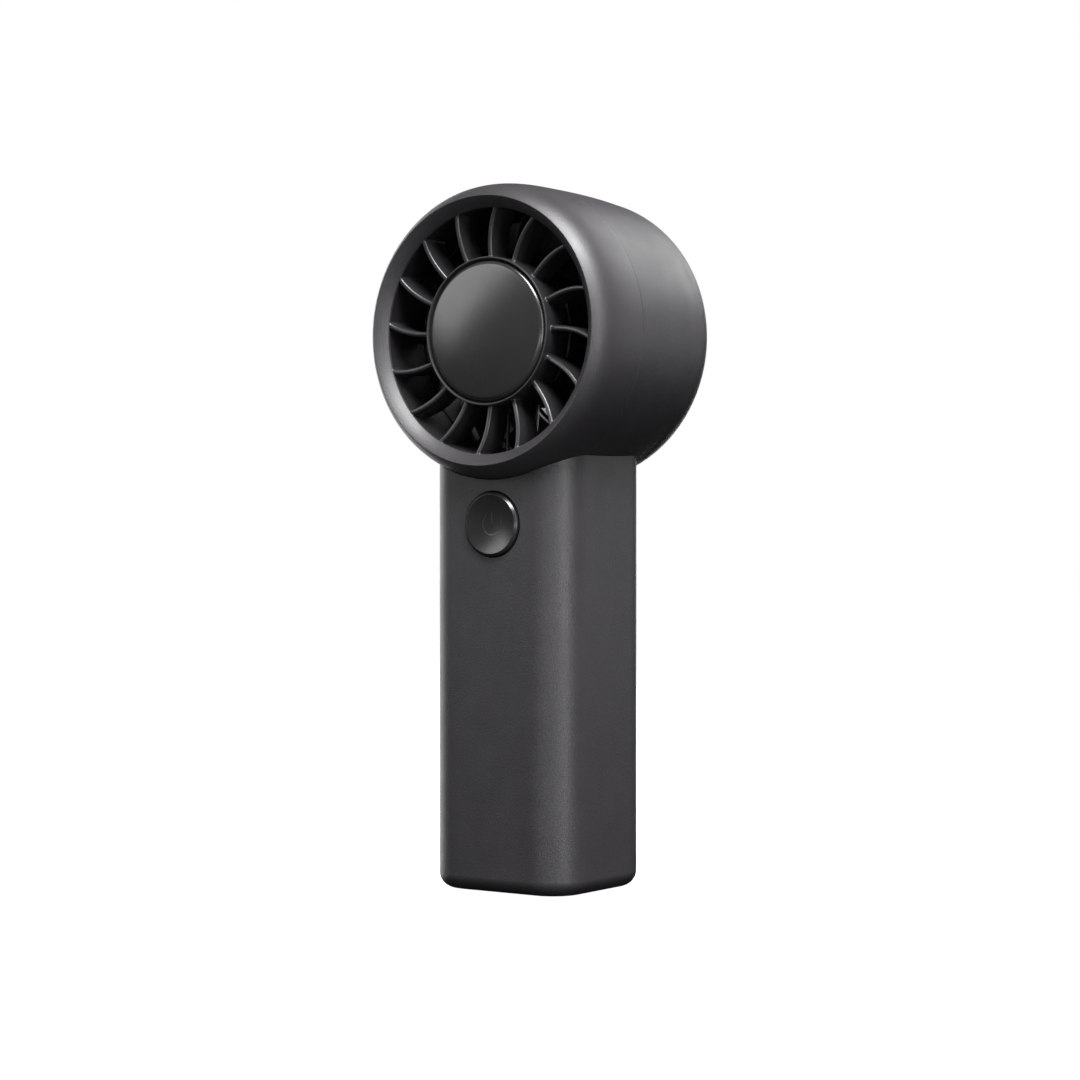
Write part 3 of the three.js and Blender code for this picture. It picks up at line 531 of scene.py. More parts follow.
def neck_post(name, side, radius, low, high):
    """A round upright post on one of the neck's two screws."""
    at = (side * NECK_SCREW_X, NECK_SCREW_Y, 0)
    profile = [(0, low), (radius, low), (radius, high), (0, high)]
    return turned(name, profile, SMALL_SIDES, at, upright=True)


def rear_shell():
    start = PARTING_Y + PARTING_GAP / 2
    skin = [point for point in BARREL if start + 2 * PARTING_EDGE < point[1] < REAR_Y - 0.01]
    corners = [
        (barrel_radius(start), start, PARTING_EDGE),
        *skin,
        (REAR_FACE_R, REAR_Y),
        (REAR_SEAT_R, REAR_Y, 0.3),
        (REAR_SEAT_R, REAR_SEAT_Y),
        (REAR_LEDGE_R, REAR_SEAT_Y, 0.2),
        (REAR_LEDGE_R, REAR_LEDGE_Y, 0.3),
        (DUCT_R, DUCT_REAR_Y, 3),
        (DUCT_R, DUCT_FRONT_Y, 0.3),
        (DUCT_R + DUCT_WALL, DUCT_FRONT_Y, 0.3),
        (DUCT_R + DUCT_WALL, DUCT_REAR_Y + 0.4, 2),
        (REAR_LEDGE_R + 2.5, REAR_LEDGE_Y, 0.4),
        (24.6, 19.4, 0.4),
        (26.3, 17.6, 1),
        (TAPER_R - SHELL_WALL, TAPER_END_Y, 2),
        (HEAD_R - SHELL_WALL, 2, 4),
        (HEAD_R - SHELL_WALL, start),
    ]
    shell = on_head("shell_rear", rounded(corners))
    boss_top = scribed_z(NECK_SCREW_X - NECK_BOSS_R, NECK_SCREW_Y, -SHELL_WALL / 2)
    bosses = []
    holes = []
    for side in (-1, 1):
        bosses.append(neck_post("boss", side, NECK_BOSS_R, NECK_Z, boss_top))
        holes.append(neck_post("hole", side, SCREW_HOLE_R, NECK_Z - 1, NECK_HOLE_TOP_Z))
    joined(shell, neck_skirt(), *bosses)
    return cut(shell, *holes)


def fillet(distance, radius):
    """How far a fillet stands out of a wall at a distance from its foot."""
    if distance >= radius:
        return 0
    return radius - math.sqrt(radius ** 2 - (radius - max(distance, 0)) ** 2)


def around_axis(radius, sideways, y, angle):
    """A point at a radius, turned clockwise from the top as seen from the front."""
    turned_to = angle + sideways / radius
    return (radius * math.sin(turned_to), y, AXIS_Z + radius * math.cos(turned_to))


def vane_radii():
    """Radii of a vane's sections, close together in the fillets at its two ends."""
    near = [VANE_FILLET * share for share in (0, 0.12, 0.3, 0.6, 1)]
    root = [HUB_R + step for step in near]
    tip = [DUCT_R - step for step in reversed(near)]
    spread = 8
    length = tip[0] - root[-1]
    middle = [root[-1] + length * step / spread for step in range(1, spread)]
    return [HUB_R - HUB_WALL / 2, *root, *middle, *tip, DUCT_R + DUCT_WALL / 2]


def vane():
    """A guide vane from the hub to the duct ring. It sweeps round and comes forward outwards."""
    sections = []
    for radius in vane_radii():
        share = min(max((radius - HUB_R) / (DUCT_R - HUB_R), 0), 1)
        angle = math.radians(VANE_TURN_DEG + VANE_SWEEP_DEG * share ** VANE_SWEEP_POWER)
        flare = fillet(min(radius - HUB_R, DUCT_R - radius), VANE_FILLET)
        half = VANE_THICK / 2 + flare
        front = VANE_FRONT_Y - VANE_TIP_FORWARD * share
        if radius < (HUB_R + DUCT_R) / 2:
            front -= flare / 2
        if radius > DUCT_R:
            front = VANE_FRONT_Y
        outline = rounded([
            (-half, front, VANE_EDGE),
            (half, front, VANE_EDGE),
            (half, VANE_REAR_Y, VANE_REAR_EDGE),
            (-half, VANE_REAR_Y, VANE_REAR_EDGE),
        ])
        sections.append([around_axis(radius, side, y, angle) for side, y in outline])
    return loft("vane", sections)


def front_grille():
    inner = HUB_R - HUB_WALL
    lip_inner = HUB_R - HUB_LIP
    lip_y = HUB_RIM_Y + HUB_LIP_DEPTH
    hub = on_head("grille_front", rounded([
        (0, WEB_FRONT_Y),
        (inner, WEB_FRONT_Y),
        (inner, lip_y + 1),
        (lip_inner, lip_y + 0.6),
        (lip_inner, lip_y),
        (HUB_R - HUB_RIM, HUB_RIM_Y, 0.12),
        (HUB_R, HUB_RIM_Y, 0.16),
        (HUB_R, WEB_REAR_Y, 0.3),
        (0, WEB_REAR_Y),
    ]), HUB_SIDES)
    ring = on_head("ring", rounded([
        (DUCT_R, RING_FRONT_Y),
        (DUCT_R + DUCT_WALL, RING_FRONT_Y),
        (DUCT_R + DUCT_WALL, RING_REAR_Y, 0.2),
        (DUCT_R, RING_REAR_Y, 0.2),
    ]))
    return joined(hub, ring, *copies(vane(), VANES))


def hub_cap():
    """A crowned disc whose shallow dome runs smoothly into its rounded edge."""
    edge_y = HUB_RIM_Y + HUB_LIP_DEPTH
    skirt = HUB_R - HUB_WALL - CAP_PLAY
    # The slope at which the dome meets the edge depends on itself, so it is closed in on.
    slope = 0
    for _ in range(8):
        reach = CAP_R - CAP_EDGE * (1 - math.sin(slope))
        rise = edge_y - CAP_EDGE * math.cos(slope) - CAP_CROWN_Y
        slope = 2 * math.atan(rise / reach)
    sphere = reach / math.sin(slope)
    crown = []
    steps = 36
    for step in range(steps):
        radius = reach * step / steps
        crown.append((radius, CAP_CROWN_Y + sphere - math.sqrt(sphere ** 2 - radius ** 2)))
    turns = 14
    for step in range(turns + 1):
        angle = slope + (math.pi / 2 - slope) * step / turns
        crown.append((
            CAP_R - CAP_EDGE + CAP_EDGE * math.sin(angle),
            edge_y - CAP_EDGE * math.cos(angle),
        ))
    return on_head("cap", [
        *crown,
        (CAP_R, edge_y + 0.4),
        (skirt, edge_y + 0.8),
        (skirt, edge_y + CAP_SKIRT),
        (skirt - CAP_SKIRT_WALL, edge_y + CAP_SKIRT),
        (skirt - CAP_SKIRT_WALL, edge_y + 0.9),
        (0, edge_y - 0.3),
    ], HUB_SIDES)


def rear_grille():
    def flat_ring(inner, outer):
        return rounded([
            (inner, BACK_GRILLE_FRONT_Y, BACK_FRONT_EDGE),
            (outer, BACK_GRILLE_FRONT_Y, BACK_FRONT_EDGE),
            (outer, BACK_GRILLE_REAR_Y, BACK_EDGE),
            (inner, BACK_GRILLE_REAR_Y, BACK_EDGE),
        ])

    hub_profile = rounded([
        (0, BACK_GRILLE_FRONT_Y),
        (BACK_HUB_R, BACK_GRILLE_FRONT_Y, BACK_FRONT_EDGE),
        (BACK_HUB_R, BACK_GRILLE_REAR_Y, BACK_EDGE),
        (0, BACK_GRILLE_REAR_Y),
    ])
    hub = on_head("grille_rear", hub_profile, SMALL_SIDES * 2)
    rings = [on_head("ring", flat_ring(*radii)) for radii in BACK_RINGS]
    half = BACK_SPOKE_WIDTH / 2
    outline = rounded([
        (-half, BACK_GRILLE_FRONT_Y + 0.1, BACK_FRONT_EDGE),
        (half, BACK_GRILLE_FRONT_Y + 0.1, BACK_FRONT_EDGE),
        (half, BACK_GRILLE_REAR_Y - 0.1, BACK_EDGE),
        (-half, BACK_GRILLE_REAR_Y - 0.1, BACK_EDGE),
    ])
    ends = [BACK_HUB_R - 0.6, BACK_RINGS[0][0] + 0.5]
    sections = [[(side, y, AXIS_Z + radius) for side, y in outline] for radius in ends]
    spokes = copies(loft("spoke", sections), BACK_SPOKES, start_deg=90)
    return joined(hub, *rings, *spokes)


# ---- Impeller ----

def blade():
    """A cambered, twisted blade, rounded at its leading edge and thin at its trailing edge."""
    sections = []
    count = 7
    stations = 18
    for row in range(count + 1):
        radius = ROTOR_R - 0.5 + (BLADE_TIP_R - ROTOR_R + 0.5) * row / count
        share = (radius - ROTOR_R) / (BLADE_TIP_R - ROTOR_R)
        turn = math.radians(BLADE_TURN_DEG) * (1 + 0.15 * share)
        lean = math.radians(BLADE_LEAN_DEG) * share
        sides = ([], [])
        for step in range(stations + 1):
            along = 0.5 - 0.5 * math.cos(math.pi * step / stations)
            y = BLADE_FRONT_Y + (BLADE_REAR_Y - BLADE_FRONT_Y) * along
            camber = lean + turn * (along - 0.25 * math.sin(math.pi * along))
            fatness = 1.7 * math.sqrt(along) * (1 - along) + 0.12 * math.sqrt(4 * along * (1 - along))
            half = BLADE_THICK / 2 * min(1, fatness)
            for side, sign in zip(sides, (-1, 1)):
                side.append(around_axis(radius, sign * half, y, camber))
        sections.append(sides[0][:-1] + sides[1][:0:-1])
    return loft("blade", sections)


def impeller():
    nose = []
    for sin, cos in quarter_turn(20)[:-1]:
        y = ROTOR_SHOULDER_Y + (ROTOR_NOSE_Y - ROTOR_SHOULDER_Y) * sin
        nose.append((ROTOR_R * cos, y))
    hub = on_head("fan_wheel", [
        (0, SHAFT_BORE_END_Y),
        (SHAFT_BORE_R, SHAFT_BORE_END_Y),
        (SHAFT_BORE_R, ROTOR_BOSS_FRONT_Y),
        (ROTOR_BOSS_R, ROTOR_BOSS_FRONT_Y),
        (ROTOR_BOSS_R, ROTOR_BOSS_REAR_Y),
        (8.5, 3),
        (ROTOR_BORE_R, -0.4),
        (ROTOR_BORE_R, ROTOR_FRONT_Y),
        (ROTOR_R - 0.3, ROTOR_FRONT_Y),
        (ROTOR_R, ROTOR_FRONT_Y + 0.3),
        *nose,
        (0, ROTOR_NOSE_Y),
    ], HUB_SIDES)
    return joined(hub, *copies(blade(), BLADES))


# ---- Handle ----

def handle_loop(inset, steps=14):
    """The outline of the handle's section, drawn in by an inset."""
    loop = rounded_loop(
        HANDLE_WIDTH - 2 * inset,
        HANDLE_DEPTH - 2 * inset,
        HANDLE_CORNER_R - inset,
        arc_steps=steps,
        flat_steps=steps,
    )
    return [(x, y + HANDLE_MID_Y) for x, y in loop]


def block(name, width, depth, radius, low, high, flare=0):
    """A rounded block about the handle's middle, which widens below in a rounded flare."""
    sections = []
    arc = quarter_turn(6) if flare else [(0, 1)]
    rows = [(flare, low - 1)]
    rows += [(flare * (1 - sin), low + flare * (1 - cos)) for sin, cos in arc]
    rows.append((0, high))
    for spread, z in rows:
        loop = rounded_loop(width + 2 * spread, depth + 2 * spread, radius + spread)
        sections.append([(x, y + HANDLE_MID_Y, z) for x, y in loop])
    return loft(name, sections)


def hole_through(name, radius, surface_y, depth, edge):
    """A cutter along Y for a round hole, which also rounds the hole's edge."""
    profile = [(0, surface_y - 1), (radius + edge, surface_y - 1)]
    for sin, cos in quarter_turn(6):
        profile.append((radius + edge * (1 - sin), surface_y + edge * (1 - cos)))
    profile += [(radius, surface_y + depth), (0, surface_y + depth)]
    return turned(name, profile, HUB_SIDES, (0, 0, BUTTON_Z))


def bar_along_y(name, rows):
    """A rounded bar through (width, height, radius, y) sections, at the socket's height."""
    sections = []
    for width, height, radius, y in rows:
        loop = rounded_loop(width, height, radius, flat_steps=2)
        sections.append([(x, y, PORT_Z + z) for x, z in loop])
    return loft(name, sections)


def port_cutter():
    """A cutter for the charging port's opening, which also rounds the opening's edge."""
    surface = HANDLE_HIGH.y
    rows = [(PORT_WIDTH, PORT_HEIGHT, PORT_CORNER_R, surface - 4)]
    for sin, cos in reversed(quarter_turn(6)):
        spread = PORT_EDGE * (1 - sin)
        y = surface - PORT_EDGE * (1 - cos)
        rows.append((PORT_WIDTH + 2 * spread, PORT_HEIGHT + 2 * spread, PORT_CORNER_R + spread, y))
    spread = 2 * PORT_EDGE
    rows.append((PORT_WIDTH + spread, PORT_HEIGHT + spread, PORT_CORNER_R + PORT_EDGE, surface + 1))
    return bar_along_y("port", rows)


def sleeve():
    sections = []
    for sin, cos in quarter_turn(12):
        inset = HANDLE_FOOT_R * (1 - sin)
        z = HANDLE_FOOT_R * (1 - cos)
        sections.append([(x, y, z) for x, y in handle_loop(inset)])
    for sin, cos in quarter_turn(4):
        inset = HANDLE_EDGE * (1 - cos)
        drop = HANDLE_EDGE * (1 - sin)
        sections.append([
            (x, y, scribed_z(x, y, SCRIBE_GAP) - drop) for x, y in handle_loop(inset)
        ])
    inner = handle_loop(HANDLE_WALL)
    sections.append([(x, y, scribed_z(x, y, SCRIBE_GAP)) for x, y in inner])
    sections.append([(x, y, HANDLE_FLOOR) for x, y in inner])
    shell = loft("grip", sections)
    seat = block(
        "seat",
        BASE_WIDTH + 2 * BASE_GAP,
        BASE_DEPTH + 2 * BASE_GAP,
        BASE_CORNER_R + BASE_GAP,
        0,
        BASE_PLATE + BASE_GAP,
        flare=0.15,
    )
    opening = block(
        "opening",
        BASE_WIDTH - 2 * BASE_LEDGE,
        BASE_DEPTH - 2 * BASE_LEDGE,
        BASE_CORNER_R - BASE_LEDGE,
        0,
        HANDLE_FLOOR + 1,
    )
    hole = hole_through("hole", BUTTON_HOLE_R, HANDLE_LOW.y, 4, BUTTON_HOLE_EDGE)
    return cut(shell, hole, port_cutter(), seat, opening)


def base_cap():
    """The bottom plate, with a raised middle inside the sleeve and two wells for its screws."""
    raised_inset = BASE_LEDGE + 0.3
    steps = [(BASE_EDGE * (1 - sin), BASE_EDGE * (1 - cos)) for sin, cos in quarter_turn(5)]
    steps += [(0, BASE_PLATE), (raised_inset, BASE_PLATE), (raised_inset, HANDLE_FLOOR)]
    rows = []
    for inset, z in steps:
        loop = rounded_loop(
            BASE_WIDTH - 2 * inset,
            BASE_DEPTH - 2 * inset,
            BASE_CORNER_R - inset,
        )
        rows.append([(x, y + HANDLE_MID_Y, z) for x, y in loop])
    plate = loft("base", rows)
    well = SCREW_HEAD_R + WELL_GAP
    profile = [
        (0, -1),
        (well + BASE_EDGE, -1),
        (well + BASE_EDGE, 0),
        (well, BASE_EDGE),
        (well, WELL_DEPTH),
        (SCREW_HOLE_R, WELL_DEPTH),
        (SCREW_HOLE_R, 4),
        (0, 4),
    ]
    cutters = []
    for side in (-1, 1):
        at = (side * BASE_SCREW_X, HANDLE_MID_Y, 0)
        cutters.append(turned("well", profile, SMALL_SIDES, at, upright=True))
    return cut(plate, *cutters)


def base_screw(index, side):
    """A pan head with a cross recess, and a shank with rings of thread."""
    top = SCREW_HEAD_Z + SCREW_HEAD
    profile = [(0, SCREW_HEAD_Z)]
    for sin, cos in quarter_turn(5):
        radius = SCREW_HEAD_R - SCREW_HEAD_EDGE * (1 - sin)
        profile.append((radius, SCREW_HEAD_Z + SCREW_HEAD_EDGE * (1 - cos)))
    profile.append((SCREW_HEAD_R, top))
    root = SCREW_R - THREAD_DEPTH
    z = top + 0.2
    profile += [(root, top), (root, z)]
    while z + THREAD_PITCH < SCREW_TOP_Z - 0.4:
        profile += [(SCREW_R, z + THREAD_PITCH / 2), (root, z + THREAD_PITCH)]
        z += THREAD_PITCH
    profile += [(root * 0.6, SCREW_TOP_Z), (0, SCREW_TOP_Z)]
    at = (side * BASE_SCREW_X, HANDLE_MID_Y, 0)
    screw = turned(f"bottom_screw_{index}", profile, SMALL_SIDES, at, upright=True)
    arms = []
    for long_x in (True, False):
        rows = []
        for share, rise in ((1.15, -0.2), (1, 0), (0.55, CROSS_DEPTH)):
            length, width = CROSS_LENGTH * share, CROSS_WIDTH * share
            x, y = (length, width) if long_x else (width, length)
            corners = [(x, y), (-x, y), (-x, -y), (x, -y)]
            rows.append([(cx + at[0], cy + at[1], SCREW_HEAD_Z + rise) for cx, cy in corners])
        arms.append(loft("arm", rows))
    return cut(screw, *arms)


# ---- Button and socket ----

def dish_y(radius):
    """The front of the button's dish at a distance from its centre."""
    return BUTTON_FRONT_Y + BUTTON_DISH * (1 - (radius / BUTTON_DISH_R) ** 2)


def button_cap():
    """A dished, bevelled button with a flange behind the hole and a stem on the switch."""
    steps = 24
    radii = [BUTTON_DISH_R * step / steps for step in range(steps)]
    flange_rear = BUTTON_REAR_Y - BUTTON_STEM
    flange_front = flange_rear - BUTTON_FLANGE
    corners = [
        *[(radius, dish_y(radius)) for radius in radii],
        (BUTTON_DISH_R, BUTTON_FRONT_Y, 0.05),
        (BUTTON_R, BUTTON_FRONT_Y + BUTTON_BEVEL, 0.12),
        (BUTTON_R, flange_front, 0.1),
        (BUTTON_FLANGE_R, flange_front, 0.1),
        (BUTTON_FLANGE_R, flange_rear, 0.1),
        (BUTTON_STEM_R, flange_rear),
        (BUTTON_STEM_R, BUTTON_REAR_Y, 0.1),
        (0, BUTTON_REAR_Y),
    ]
    return turned("push_button", rounded(corners), HUB_SIDES, (0, 0, BUTTON_Z))


def mark_part(name, path):
    """A thin printed stroke along (x, z) points on the dish."""
    half = MARK_WIDTH / 2
    sections = []
    for index, here in enumerate(path):
        before = path[max(index - 1, 0)]
        after = path[min(index + 1, len(path) - 1)]
        along = (after - before).normalized()
        across = Vector((-along.y, along.x)) * half
        section = []
        for share, lift in ((-1, -0.01), (-0.8, 0.012), (0.8, 0.012), (1, -0.01)):
            point = here + across * share
            section.append((point.x, dish_y(point.length) - lift, BUTTON_Z + point.y))
        sections.append(section)
    return loft(name, sections)


def power_mark():
    """The printed power sign: a ring open at the top, with an upright bar in the opening."""
    start = math.radians(MARK_OPEN_DEG)
    end = 2 * math.pi - start
    steps = 48
    arc = []
    for step in range(steps + 1):
        angle = start + (end - start) * step / steps
        arc.append(Vector((math.sin(angle), math.cos(angle))) * (MARK_R - MARK_WIDTH / 2))
    bar = [Vector((0, MARK_R * (0.1 + step / 6))) for step in range(7)]
    ring = mark_part("power_sign", arc)
    return joined(ring, mark_part("bar", bar))


def usb_shell():
    radius = SOCKET_HEIGHT / 2 - 0.05
    lead_in = 0.12
    outer = bar_along_y("port_shell", [
        (SOCKET_WIDTH, SOCKET_HEIGHT, radius, SOCKET_BACK_Y),
        (SOCKET_WIDTH, SOCKET_HEIGHT, radius, SOCKET_MOUTH_Y - lead_in),
        (SOCKET_WIDTH - lead_in, SOCKET_HEIGHT - lead_in, radius - lead_in / 2, SOCKET_MOUTH_Y),
    ])
    width, height = SOCKET_WIDTH - 2 * SOCKET_WALL, SOCKET_HEIGHT - 2 * SOCKET_WALL
    inner = radius - SOCKET_WALL
    hollow = bar_along_y("hollow", [
        (width, height, inner, SOCKET_BACK_Y + 1),
        (width, height, inner, SOCKET_MOUTH_Y - lead_in),
        (width + lead_in, height + lead_in, inner + lead_in / 2, SOCKET_MOUTH_Y + 0.01),
        (width + lead_in, height + lead_in, inner + lead_in / 2, SOCKET_MOUTH_Y + 1),
    ])
    return cut(outer, hollow)


def usb_tongue():
    edge = 0.15
    return bar_along_y("port_tongue", [
        (TONGUE_WIDTH, TONGUE_THICK, edge, SOCKET_BACK_Y + 0.9),
        (TONGUE_WIDTH, TONGUE_THICK, edge, SOCKET_MOUTH_Y - TONGUE_SETBACK - 0.2),
        (TONGUE_WIDTH - 0.3, TONGUE_THICK - 0.25, edge, SOCKET_MOUTH_Y - TONGUE_SETBACK),
    ])


def usb_contacts():
    """Two rows of flat contacts, one on each side of the tongue, joined as one piece."""
    pads = []
    pitch = TONGUE_WIDTH / (CONTACTS + 1)
    half = pitch * 0.3
    for side in (-1, 1):
        for index in range(CONTACTS):
            x = pitch * (index + 1) - TONGUE_WIDTH / 2
            z = PORT_Z + side * TONGUE_THICK / 2
            rows = []
            for y in (SOCKET_MOUTH_Y - CONTACT_BACK, SOCKET_MOUTH_Y - CONTACT_FRONT):
                rows.append([
                    (x - half, y, z - CONTACT_THICK),
                    (x + half, y, z - CONTACT_THICK),
                    (x + half, y, z + CONTACT_THICK),
                    (x - half, y, z + CONTACT_THICK),
                ])
            pads.append(loft(f"pad_{side}_{index}", rows))
    first, *others = pads
    first.name = "port_contacts"
    return joined(first, *others)


# ---- Materials ----

# Length of one wave of a wave texture whose scale is 1.
WAVE_LENGTH = 0.314


class Surface:
    """A material on a principled shader, with textures placed in the part's own frame."""

    def __init__(self, name, colour, roughness, **settings):
        self.material = bpy.data.materials.new(name)
        self.material.use_nodes = True
        self.tree = self.material.node_tree
        self.shader = self.tree.nodes["Principled BSDF"]
        self.shader.inputs["Base Color"].default_value = (*colour, 1)
        self.shader.inputs["Roughness"].default_value = roughness
        for socket, value in settings.items():
            self.shader.inputs[socket.replace("_", " ")].default_value = value
        self.colour = colour
        self.roughness = roughness
        self.place = self.tree.nodes.new("ShaderNodeTexCoord").outputs["Object"]
        self.height = None

    def link(self, output, socket):
        self.tree.links.new(output, socket)

    def noise(self, size, detail=2, stretch=None):
        """Noise from 0 to 1 whose lumps are about this many millimetres across."""
        node = self.tree.nodes.new("ShaderNodeTexNoise")
        node.inputs["Scale"].default_value = 1 / (size * MM)
        node.inputs["Detail"].default_value = detail
        self.link(self.stretched(stretch), node.inputs["Vector"])
        return node.outputs["Fac"]

    def waves(self, size, direction, distortion):
        """Waves from 0 to 1 that repeat along a direction every so many millimetres."""
        node = self.tree.nodes.new("ShaderNodeTexWave")
        node.bands_direction = direction
        node.inputs["Scale"].default_value = WAVE_LENGTH / (size * MM)
        node.inputs["Distortion"].default_value = distortion
        self.link(self.place, node.inputs["Vector"])
        return node.outputs["Fac"]

    def stretched(self, stretch):
        """The place on the part, with each direction scaled. Lumps shrink where it is over 1."""
        if stretch is None:
            return self.place
        node = self.tree.nodes.new("ShaderNodeMapping")
        node.inputs["Scale"].default_value = stretch
        self.link(self.place, node.inputs["Vector"])
        return node.outputs["Vector"]

    def between(self, value, low, high, start=0.2, end=0.8):
        """A value that goes smoothly from low to high as another goes from start to end."""
        node = self.tree.nodes.new("ShaderNodeMapRange")
        node.interpolation_type = "SMOOTHSTEP"
        node.inputs["From Min"].default_value = start
        node.inputs["From Max"].default_value = end
        node.inputs["To Min"].default_value = low
        node.inputs["To Max"].default_value = high
        self.link(value, node.inputs["Value"])
        return node.outputs["Result"]

    def vary_roughness(self, value, spread):
        low, high = self.roughness - spread, self.roughness + spread
        self.link(self.between(value, low, high), self.shader.inputs["Roughness"])

    def vary_colour(self, value, other, start=0.2, end=0.8):
        node = self.tree.nodes.new("ShaderNodeMix")
        node.data_type = "RGBA"
        colours = [socket for socket in node.inputs if socket.type == "RGBA"]
        colours[0].default_value = (*self.colour, 1)
        colours[1].default_value = (*other, 1)
        self.link(self.between(value, 0, 1, start, end), node.inputs["Factor"])
        result = [socket for socket in node.outputs if socket.type == "RGBA"][0]
        self.link(result, self.shader.inputs["Base Color"])

    def bump(self, value, depth, strength=1):
        """Relief of this depth in millimetres. Each call lies on top of the one before."""
        node = self.tree.nodes.new("ShaderNodeBump")
        node.inputs["Distance"].default_value = depth * MM
        node.inputs["Strength"].default_value = strength
        self.link(value, node.inputs["Height"])
        if self.height is not None:
            self.link(self.height, node.inputs["Normal"])
        self.height = node.outputs["Normal"]
        self.link(self.height, self.shader.inputs["Normal"])


def shade(colour, factor):
    return tuple(channel * factor for channel in colour)


def grained_plastic(name, colour, roughness, grain, depth, **settings):
    """Moulded plastic with a spark-eroded grain, faint flow marks and handling shine."""
    surface = Surface(name, colour, roughness, **settings)
    surface.vary_colour(surface.noise(9, detail=4), shade(colour, 1.12))
    surface.vary_roughness(surface.noise(6, detail=5), 0.035)
    surface.bump(surface.noise(grain, detail=3), depth)
    surface.bump(surface.noise(14, detail=1), 0.006)
    return surface.material


def polished_plastic(name, colour, roughness, **settings):
    """Smooth moulded plastic with fine hairline marks and a little waviness."""
    surface = Surface(name, colour, roughness, **settings)
    surface.vary_colour(surface.noise(5, detail=3), shade(colour, 1.06))
    surface.vary_roughness(surface.noise(7, detail=2), 0.015)
    surface.bump(surface.noise(0.3, detail=2), 0.0006)
    surface.bump(surface.noise(6, detail=1), 0.003)
    return surface.material


def brushed_metal(name, colour, roughness, stretch, **settings):
    surface = Surface(name, colour, roughness, Metallic=1, **settings)
    lines = surface.noise(0.25, detail=4, stretch=stretch)
    surface.vary_colour(surface.noise(2, detail=4), shade(colour, 0.82))
    surface.vary_roughness(lines, 0.08)
    surface.bump(lines, 0.003)
    return surface.material


def magnet_material():
    colour = (0.035, 0.034, 0.036)
    surface = Surface("ferrite", colour, 0.6, Metallic=0.3)
    surface.vary_colour(surface.noise(0.2, detail=4), (0.08, 0.078, 0.08), 0.5, 0.75)
    surface.vary_roughness(surface.noise(0.8, detail=3), 0.1)
    surface.bump(surface.noise(0.12, detail=3), 0.01)
    return surface.material


def copper_winding():
    colour = (0.62, 0.2, 0.06)
    surface = Surface("enamelled_wire", colour, 0.32, Metallic=1, Coat_Weight=0.5)
    turns = surface.waves(0.32, "Y", distortion=0.2)
    surface.vary_colour(surface.noise(1.2, detail=3), (0.36, 0.09, 0.03))
    surface.vary_roughness(surface.noise(0.6, detail=3), 0.08)
    surface.bump(turns, 0.06)
    return surface.material


def circuit_board():
    colour = (0.008, 0.07, 0.028)
    surface = Surface("solder_mask", colour, 0.38, Coat_Weight=0.3)
    weave = surface.noise(0.5, detail=1, stretch=(1, 1, 3))
    tracks = surface.waves(1.4, "X", distortion=4)
    surface.vary_colour(tracks, (0.016, 0.13, 0.05), 0.78, 0.84)
    surface.vary_roughness(surface.noise(2.5, detail=4), 0.06)
    surface.bump(tracks, 0.02, 0.6)
    surface.bump(weave, 0.004)
    return surface.material


def cell_wrap():
    colour = (0.02, 0.09, 0.22)
    surface = Surface("shrink_wrap", colour, 0.3, Coat_Weight=0.2)
    surface.vary_colour(surface.noise(12, detail=3), (0.025, 0.12, 0.3))
    surface.vary_roughness(surface.noise(3, detail=4), 0.07)
    surface.bump(surface.noise(4, detail=2, stretch=(1, 1, 0.25)), 0.05)
    return surface.material


def rubber_lead(name, colour):
    surface = Surface(name, colour, 0.5)
    surface.vary_colour(surface.noise(1.5, detail=3), shade(colour, 0.7))
    surface.vary_roughness(surface.noise(0.8, detail=3), 0.06)
    surface.bump(surface.noise(0.25, detail=2), 0.01)
    return surface.material


def component_body():
    colour = (0.018, 0.018, 0.019)
    surface = Surface("moulding_compound", colour, 0.55)
    surface.vary_colour(surface.noise(0.15, detail=3), (0.05, 0.05, 0.052), 0.55, 0.8)
    surface.vary_roughness(surface.noise(0.6, detail=3), 0.08)
    surface.bump(surface.noise(0.1, detail=2), 0.006)
    return surface.material


def printed_mark():
    colour = (0.014, 0.014, 0.0145)
    surface = Surface("pad_print", colour, 0.4)
    surface.vary_colour(surface.noise(0.5, detail=3), shade(colour, 0.75))
    surface.vary_roughness(surface.noise(0.4, detail=3), 0.05)
    surface.bump(surface.noise(0.08, detail=2), 0.002)
    return surface.material


SHELL_COLOUR = (0.0185, 0.0172, 0.019)
GRILLE_COLOUR = (0.014, 0.0135, 0.0145)

shell_plastic = grained_plastic("shell_plastic", SHELL_COLOUR, 0.46, grain=0.32, depth=0.04)
grille_plastic = polished_plastic("grille_plastic", GRILLE_COLOUR, 0.35)
hub_plastic = grained_plastic(
    "hub_plastic",
    (0.011, 0.011, 0.0115),
    0.58,
    grain=0.2,
    depth=0.006,
    Specular_IOR_Level=0.35,
)
# Painted shade: the duct's inner walls are the housing's plastic painted far darker, standing in for the shade
# that falls inside the duct.
duct_painted_shade = grained_plastic(
    "duct_painted_shade",
    (0.005, 0.005, 0.0052),
    0.6,
    grain=0.2,
    depth=0.006,
    Specular_IOR_Level=0.2,
)
cap_plastic = polished_plastic("cap_plastic", (0.015, 0.015, 0.0155), 0.22)
button_plastic = polished_plastic("button_plastic", (0.013, 0.013, 0.0135), 0.25)
